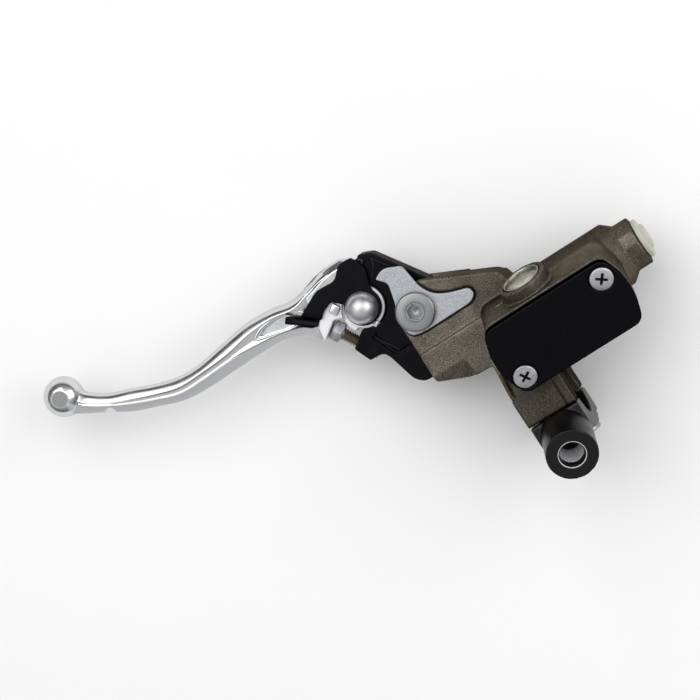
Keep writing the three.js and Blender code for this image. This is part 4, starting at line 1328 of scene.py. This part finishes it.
def mark_satin(piece):
    """Marks the satin faces: the rear band, the head's flat and the ball's two flats."""
    rows = [[*rear, *ahead, lower] for rear, ahead, _, lower, _ in BLADE_SECTIONS]
    ridge = []
    steps = 600
    for step in range(steps + 1):
        rx, ry, fx, fy, lower = between(rows, (len(rows) - 1) * step / steps)
        t = (lower + 1) / 2
        ridge.append((rx + (fx - rx) * t, ry + (fy - ry) * t))
    ridge = [p for p in ridge if p[0] < HEAD_START]
    satin = piece.data.attributes.new("satin", "FLOAT", "POINT")
    flat = piece.data.attributes.new("flat", "FLOAT", "POINT")
    for v in piece.data.vertices:
        x, y, z = v.co / MM
        share = 0.0
        if x < ridge[-1][0]:
            near = min(range(len(ridge)), key=lambda i: abs(ridge[i][0] - x))
            line = ridge[near][1]
            share = max(0.0, min(1.0, (line - y) / 0.4 + 0.5, (x + 164) / 2))
        elif y < 84:
            share = 0.8
        on_flat = abs(z) > FLAT_HEIGHT - 0.02
        satin.data[v.index].value = 1.0 if on_flat else share
        flat.data[v.index].value = float(on_flat)


class BRAKE_OT_blade(bpy.types.Operator):
    """Polished lever blade with its ridges, pocket, break notch and ball end"""
    bl_idname = "brake.blade"
    bl_label = "Lever blade"

    def execute(self, context):
        loft = blade_loft("finger")
        for side in (1, -1):
            tool = prism("pocket", POCKET, 2.6, 9, 0.82)
            if side < 0:
                tool.data.transform(Matrix.Scale(-1, 4, (0, 0, 1)))
                tool.data.flip_normals()
            carve(loft, tool)
        notch = prism("notch", [(x - 150.8, y + 88.5) for x, y in polygon(40, 2.4)], -10, 10)
        carve(loft, notch)
        low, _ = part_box("lever_blade")
        ball = bmesh.new()
        bmesh.ops.create_uvsphere(ball, u_segments=96, v_segments=64, radius=BALL_RADIUS * MM)
        for v in ball.verts:
            v.co.z = max(-FLAT_HEIGHT * MM, min(FLAT_HEIGHT * MM, v.co.z))
        ball.transform(Matrix.Translation((low.x + BALL_RADIUS * MM, BALL_FORWARD * MM, 0)))
        head = skin(blade_head("head"), 0.26 * MM, 3)
        slope_forward_edge(head)
        carve(head, prism("slot", JAW_SLOT, 3.2, 9))
        carve(loft, from_bmesh(ball, "ball"), "UNION")
        blade = carve(loft, head, "UNION")
        rims = []
        for side in (1, -1):
            rims.append(tube("rim", [(x, y, 5.2 * side) for x, y in POCKET_RIM], 0.5, True))
        blade = join("polished_blade", blade, *rims)
        shade(blade, 38)
        mark_satin(blade)
        finish_piece(blade, "blade", "polished_aluminium", finish("blade"), "lever_blade")
        return {"FINISHED"}


class BRAKE_OT_cover(bpy.types.Operator):
    """Stamped black cover over the lever's joint, its outer end bent down"""
    bl_idname = "brake.cover"
    bl_label = "Joint cover"

    def execute(self, context):
        cover = skinned_copy("joint_cover", "stamped_cover", 0.25 * MM, 4)
        outer_end = [(-66.0, 80.8), (-57.2, 73.4)]
        bend = 2.6
        for v in cover.data.vertices:
            x, y, z = v.co / MM
            gap = distance_to_line(x, y, outer_end)
            if z < 6.2 or x > -56 or gap > bend or y < 73:
                continue
            fall = bend - math.sqrt(bend ** 2 - (bend - gap) ** 2)
            v.co.z -= min(fall, 2.2) * MM * 0.6
        finish_piece(shade(cover, 60), "blade", "black_anodised", finish("cover"), "joint_cover")
        return {"FINISHED"}


class BRAKE_OT_ball_pin(bpy.types.Operator):
    """Ball-headed pin of the joint and its clip"""
    bl_idname = "brake.ball_pin"
    bl_label = "Ball pin"

    def execute(self, context):
        low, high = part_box("ball_pin")
        radius = (high.x - low.x) / 2 / MM
        top = high.z / MM
        centre_z = top - radius
        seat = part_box("joint_cover")[1].z / MM + 0.3
        first = math.asin((seat - centre_z) / radius)
        arc = [(radius * math.cos(a), centre_z + radius * math.sin(a))
               for a in (first + (math.pi / 2 - first) * i / 28 for i in range(28))]
        at = Vector((pin_point().x, pin_point().y, 0))
        pin = turned("ball_pin_fine", [(0, low.z / MM), (2.6, low.z / MM), (3, low.z / MM + 0.4),
                                       (3, seat), *arc, (0, top)], at, width=0.15)
        finish_piece(pin, "lever", "polished_steel", finish("ball"), "ball_pin")
        clip = turned_copy("pin_clip", "pin_clip_fine", at, (0, 0, 1))
        finish_piece(clip, "lever", "zinc_fasteners", finish("zinc"), "pin_clip")
        return {"FINISHED"}


def rounded_block(name, at, size, turn, edge=0.4):
    """Block with rounded edges, in millimetres, standing on z = at[2]."""
    bm = bmesh.new()
    bmesh.ops.create_cube(bm, size=1)
    bmesh.ops.scale(bm, verts=bm.verts, vec=Vector(size) * MM)
    bm.transform(Matrix.Rotation(turn, 4, "Z"))
    bmesh.ops.translate(bm, verts=bm.verts, vec=Vector((at[0], at[1], at[2] + size[2] / 2)) * MM)
    return chamfer(from_bmesh(bm, name), edge * MM, 4)


class BRAKE_OT_joint_details(bpy.types.Operator):
    """Seat, lug and stop around the ball pin"""
    bl_idname = "brake.joint_details"
    bl_label = "Joint details"

    def execute(self, context):
        pin = pin_point() / MM
        rim = []
        for step in range(37):
            degrees = -84 + 150 * step / 36
            reach = 7.3 + 0.8 * max(0.0, (degrees - 20) / 46)
            a = math.radians(degrees)
            rim.append((pin.x + reach * math.cos(a), pin.y + reach * math.sin(a)))
        seat = prism("eye_seat", rim + [(pin.x - 1, pin.y + 3), (pin.x - 1, pin.y - 4)], 6.0, 6.55)
        finish_piece(chamfer(seat, 0.08 * MM), "blade", "black_anodised", finish("cover"))
        lug = join("eye_lug", rounded_block("foot", (pin.x + 0.7, pin.y - 8.3, 5.6), (2.6, 1.5, 1.3), 0.5),
                   rounded_block("tab", (pin.x - 0.9, pin.y - 7.7, 5.6), (1.2, 1.6, 1.2), 0.1))
        finish_piece(shade(lug), "blade", "polished_aluminium", finish("blade"))
        stop = rounded_block("reach_stop", (-51.5, 75.3, 5.8), (4.0, 3.6, 2.4), 0.55, 0.6)
        finish_piece(stop, "blade", "polished_aluminium", finish("blade"))
        return {"FINISHED"}


class BRAKE_OT_reach_screw(bpy.types.Operator):
    """Hex-headed reach screw with a real thread"""
    bl_idname = "brake.reach_screw"
    bl_label = "Reach screw"

    def execute(self, context):
        axis = Vector(joint("reach_screw_travel")["axis"]).normalized()
        points = [v.co for v in frame["nodes"]["reach_screw"].data.vertices]
        start = min(p.dot(axis) for p in points)
        end = max(p.dot(axis) for p in points)
        centre = middle("reach_screw")
        at = centre + axis * (start - centre.dot(axis))
        off = [(p - at) - axis * (p - at).dot(axis) for p in points if (p - at).dot(axis) < 1 * MM]
        at += sum(off, Vector()) / len(off)
        at.z = 0
        head = hex_head("reach_screw_head", 4.4, 4.2, 0.45, math.pi / 6)
        move_to(head, at, axis)
        finish_piece(head, "adjuster", "turned_steel", finish("zinc"), "reach_screw")
        shank = thread("reach_screw_thread", 2.5, 0.55, context.scene.machined_sizes.pitch / MM, 4.3,
                       (end - start) / MM)
        move_to(shank, at, axis)
        finish_piece(shank, "adjuster", "turned_steel", finish("thread"))
        return {"FINISHED"}


# ------------------------------------------------------------------ studio
def area_light(name, at, toward, width, depth, power):
    light = bpy.data.lights.new(name, "AREA")
    light.shape = "RECTANGLE"
    light.size, light.size_y, light.energy = width, depth, power
    lamp = bpy.data.objects.new(name, light)
    lamp.location = at
    lamp.rotation_euler = (Vector(toward) - Vector(at)).to_track_quat("-Z", "Y").to_euler()
    bpy.context.scene.collection.objects.link(lamp)


def studio_room(strength):
    """Light tent: bright high up, softer straight above and dark towards its edge."""
    world = bpy.data.worlds.new("Studio")
    world.use_nodes = True
    tree = world.node_tree
    parts = add(tree, "ShaderNodeSeparateXYZ")
    feed(tree, parts.inputs[0], add(tree, "ShaderNodeTexCoord").outputs["Generated"])
    wall = spread(tree, parts.outputs[2], 0.1, 0.7, 0.14, 1.0)
    front = spread(tree, parts.outputs[1], 0.3, 0.85, 1.0, 0.3)
    crown = spread(tree, parts.outputs[2], 0.84, 0.98, 1.0, 0.6)
    rear = spread(tree, parts.outputs[1], -0.6, 0.0, 0.62, 1.0)
    light = maths(tree, "MULTIPLY", maths(tree, "MULTIPLY", wall, crown),
                  maths(tree, "MULTIPLY", rear, front))
    background = tree.nodes["Background"]
    background.inputs["Color"].default_value = (1, 1, 1, 1)
    feed(tree, background.inputs["Strength"], maths(tree, "MULTIPLY", light, strength))
    return world


class BRAKE_OT_studio(bpy.types.Operator):
    """Pale floor, soft light and camera"""
    bl_idname = "brake.studio"
    bl_label = "Studio"

    def execute(self, context):
        studio = context.scene.studio_sizes
        half = studio.floor_size / 2
        target = Vector(studio.target)
        bm = bmesh.new()
        bmesh.ops.create_grid(bm, x_segments=8, y_segments=8, size=half)
        bmesh.ops.translate(bm, verts=bm.verts, vec=(target.x, target.y, cad_box[0][2] - 0.3 * MM))
        floor = from_bmesh(bm, "studio_floor")
        material, tree, surface = principled("studio_floor", Roughness=0.9, Specular_IOR_Level=0.1)
        base = tuple(context.scene.finish_colours.floor)
        grain = noise(tree, 40.0, 2.0, 0.5)
        feed(tree, surface["Base Color"], blend_colour(tree, grain, tuple(0.99 * c for c in base), base))
        floor.data.materials.append(material)

        context.scene.world = studio_room(studio.sky)
        context.scene.view_settings.view_transform = "Standard"

        away = Vector(studio.lean).normalized()
        right = (Vector((1, 0, 0)) - away * away.x).normalized()
        up = away.cross(right)
        turn = Matrix.Rotation(studio.roll, 3, away)
        right, up = turn @ right, turn @ up
        for name, side, rise, height, size, power in (
            ("key_softbox", -0.7, 0.5, 1.3, 1.5, 12),
            ("side_softbox", 0.95, 0.35, 1.2, 1.2, 8),
        ):
            at = target + right * side + up * rise + away * height
            area_light(name, at, target, size, size, power)

        camera = bpy.data.cameras.new("camera")
        camera.lens = studio.lens
        camera.sensor_width = 36
        holder = bpy.data.objects.new("camera", camera)
        axes = Matrix((right, up, away)).transposed().to_4x4()
        holder.matrix_world = Matrix.Translation(target + away * studio.distance) @ axes
        context.scene.collection.objects.link(holder)
        context.scene.camera = holder
        return {"FINISHED"}


# ------------------------------------------------------------------ add-on
PIECES = (
    BRAKE_OT_body, BRAKE_OT_clamp, BRAKE_OT_clamp_bolts, BRAKE_OT_lid, BRAKE_OT_lid_screws,
    BRAKE_OT_window, BRAKE_OT_plug, BRAKE_OT_piston_train, BRAKE_OT_pivot_plate,
    BRAKE_OT_pivot_bolt, BRAKE_OT_lever_base, BRAKE_OT_blade, BRAKE_OT_cover, BRAKE_OT_ball_pin,
    BRAKE_OT_joint_details, BRAKE_OT_reach_screw, BRAKE_OT_studio,
)


class BRAKE_PT_panel(bpy.types.Panel):
    """Lists the pieces and their sizes"""
    bl_idname = "BRAKE_PT_panel"
    bl_label = "Brake master cylinder"
    bl_space_type = "VIEW_3D"
    bl_region_type = "UI"
    bl_category = "Brake"

    def draw(self, context):
        layout = self.layout
        for group in SIZE_GROUPS:
            box = layout.box()
            box.label(text=group.replace("_", " ").capitalize())
            values = getattr(context.scene, group)
            for name in values.__annotations__:
                box.prop(values, name)
        for piece in PIECES:
            layout.operator(piece.bl_idname)


SIZE_GROUPS = {
    "casting_sizes": CastingSizes,
    "machined_sizes": MachinedSizes,
    "finish_colours": FinishColours,
    "studio_sizes": StudioSizes,
}


def register():
    for group, kind in SIZE_GROUPS.items():
        bpy.utils.register_class(kind)
        setattr(bpy.types.Scene, group, PointerProperty(type=kind))
    for kind in (*PIECES, BRAKE_PT_panel):
        bpy.utils.register_class(kind)


def unregister():
    for kind in (BRAKE_PT_panel, *reversed(PIECES)):
        bpy.utils.unregister_class(kind)
    for group, kind in reversed(list(SIZE_GROUPS.items())):
        delattr(bpy.types.Scene, group)
        bpy.utils.unregister_class(kind)


def main():
    register()
    for make_group in (make_grain_group, make_rubbed_and_highlit_edges_group, make_rings_group, make_marks_group):
        make_group()
    for piece in PIECES:
        section, name = piece.bl_idname.split(".")
        getattr(getattr(bpy.ops, section), name)()


if __name__ == "__main__":
    main()
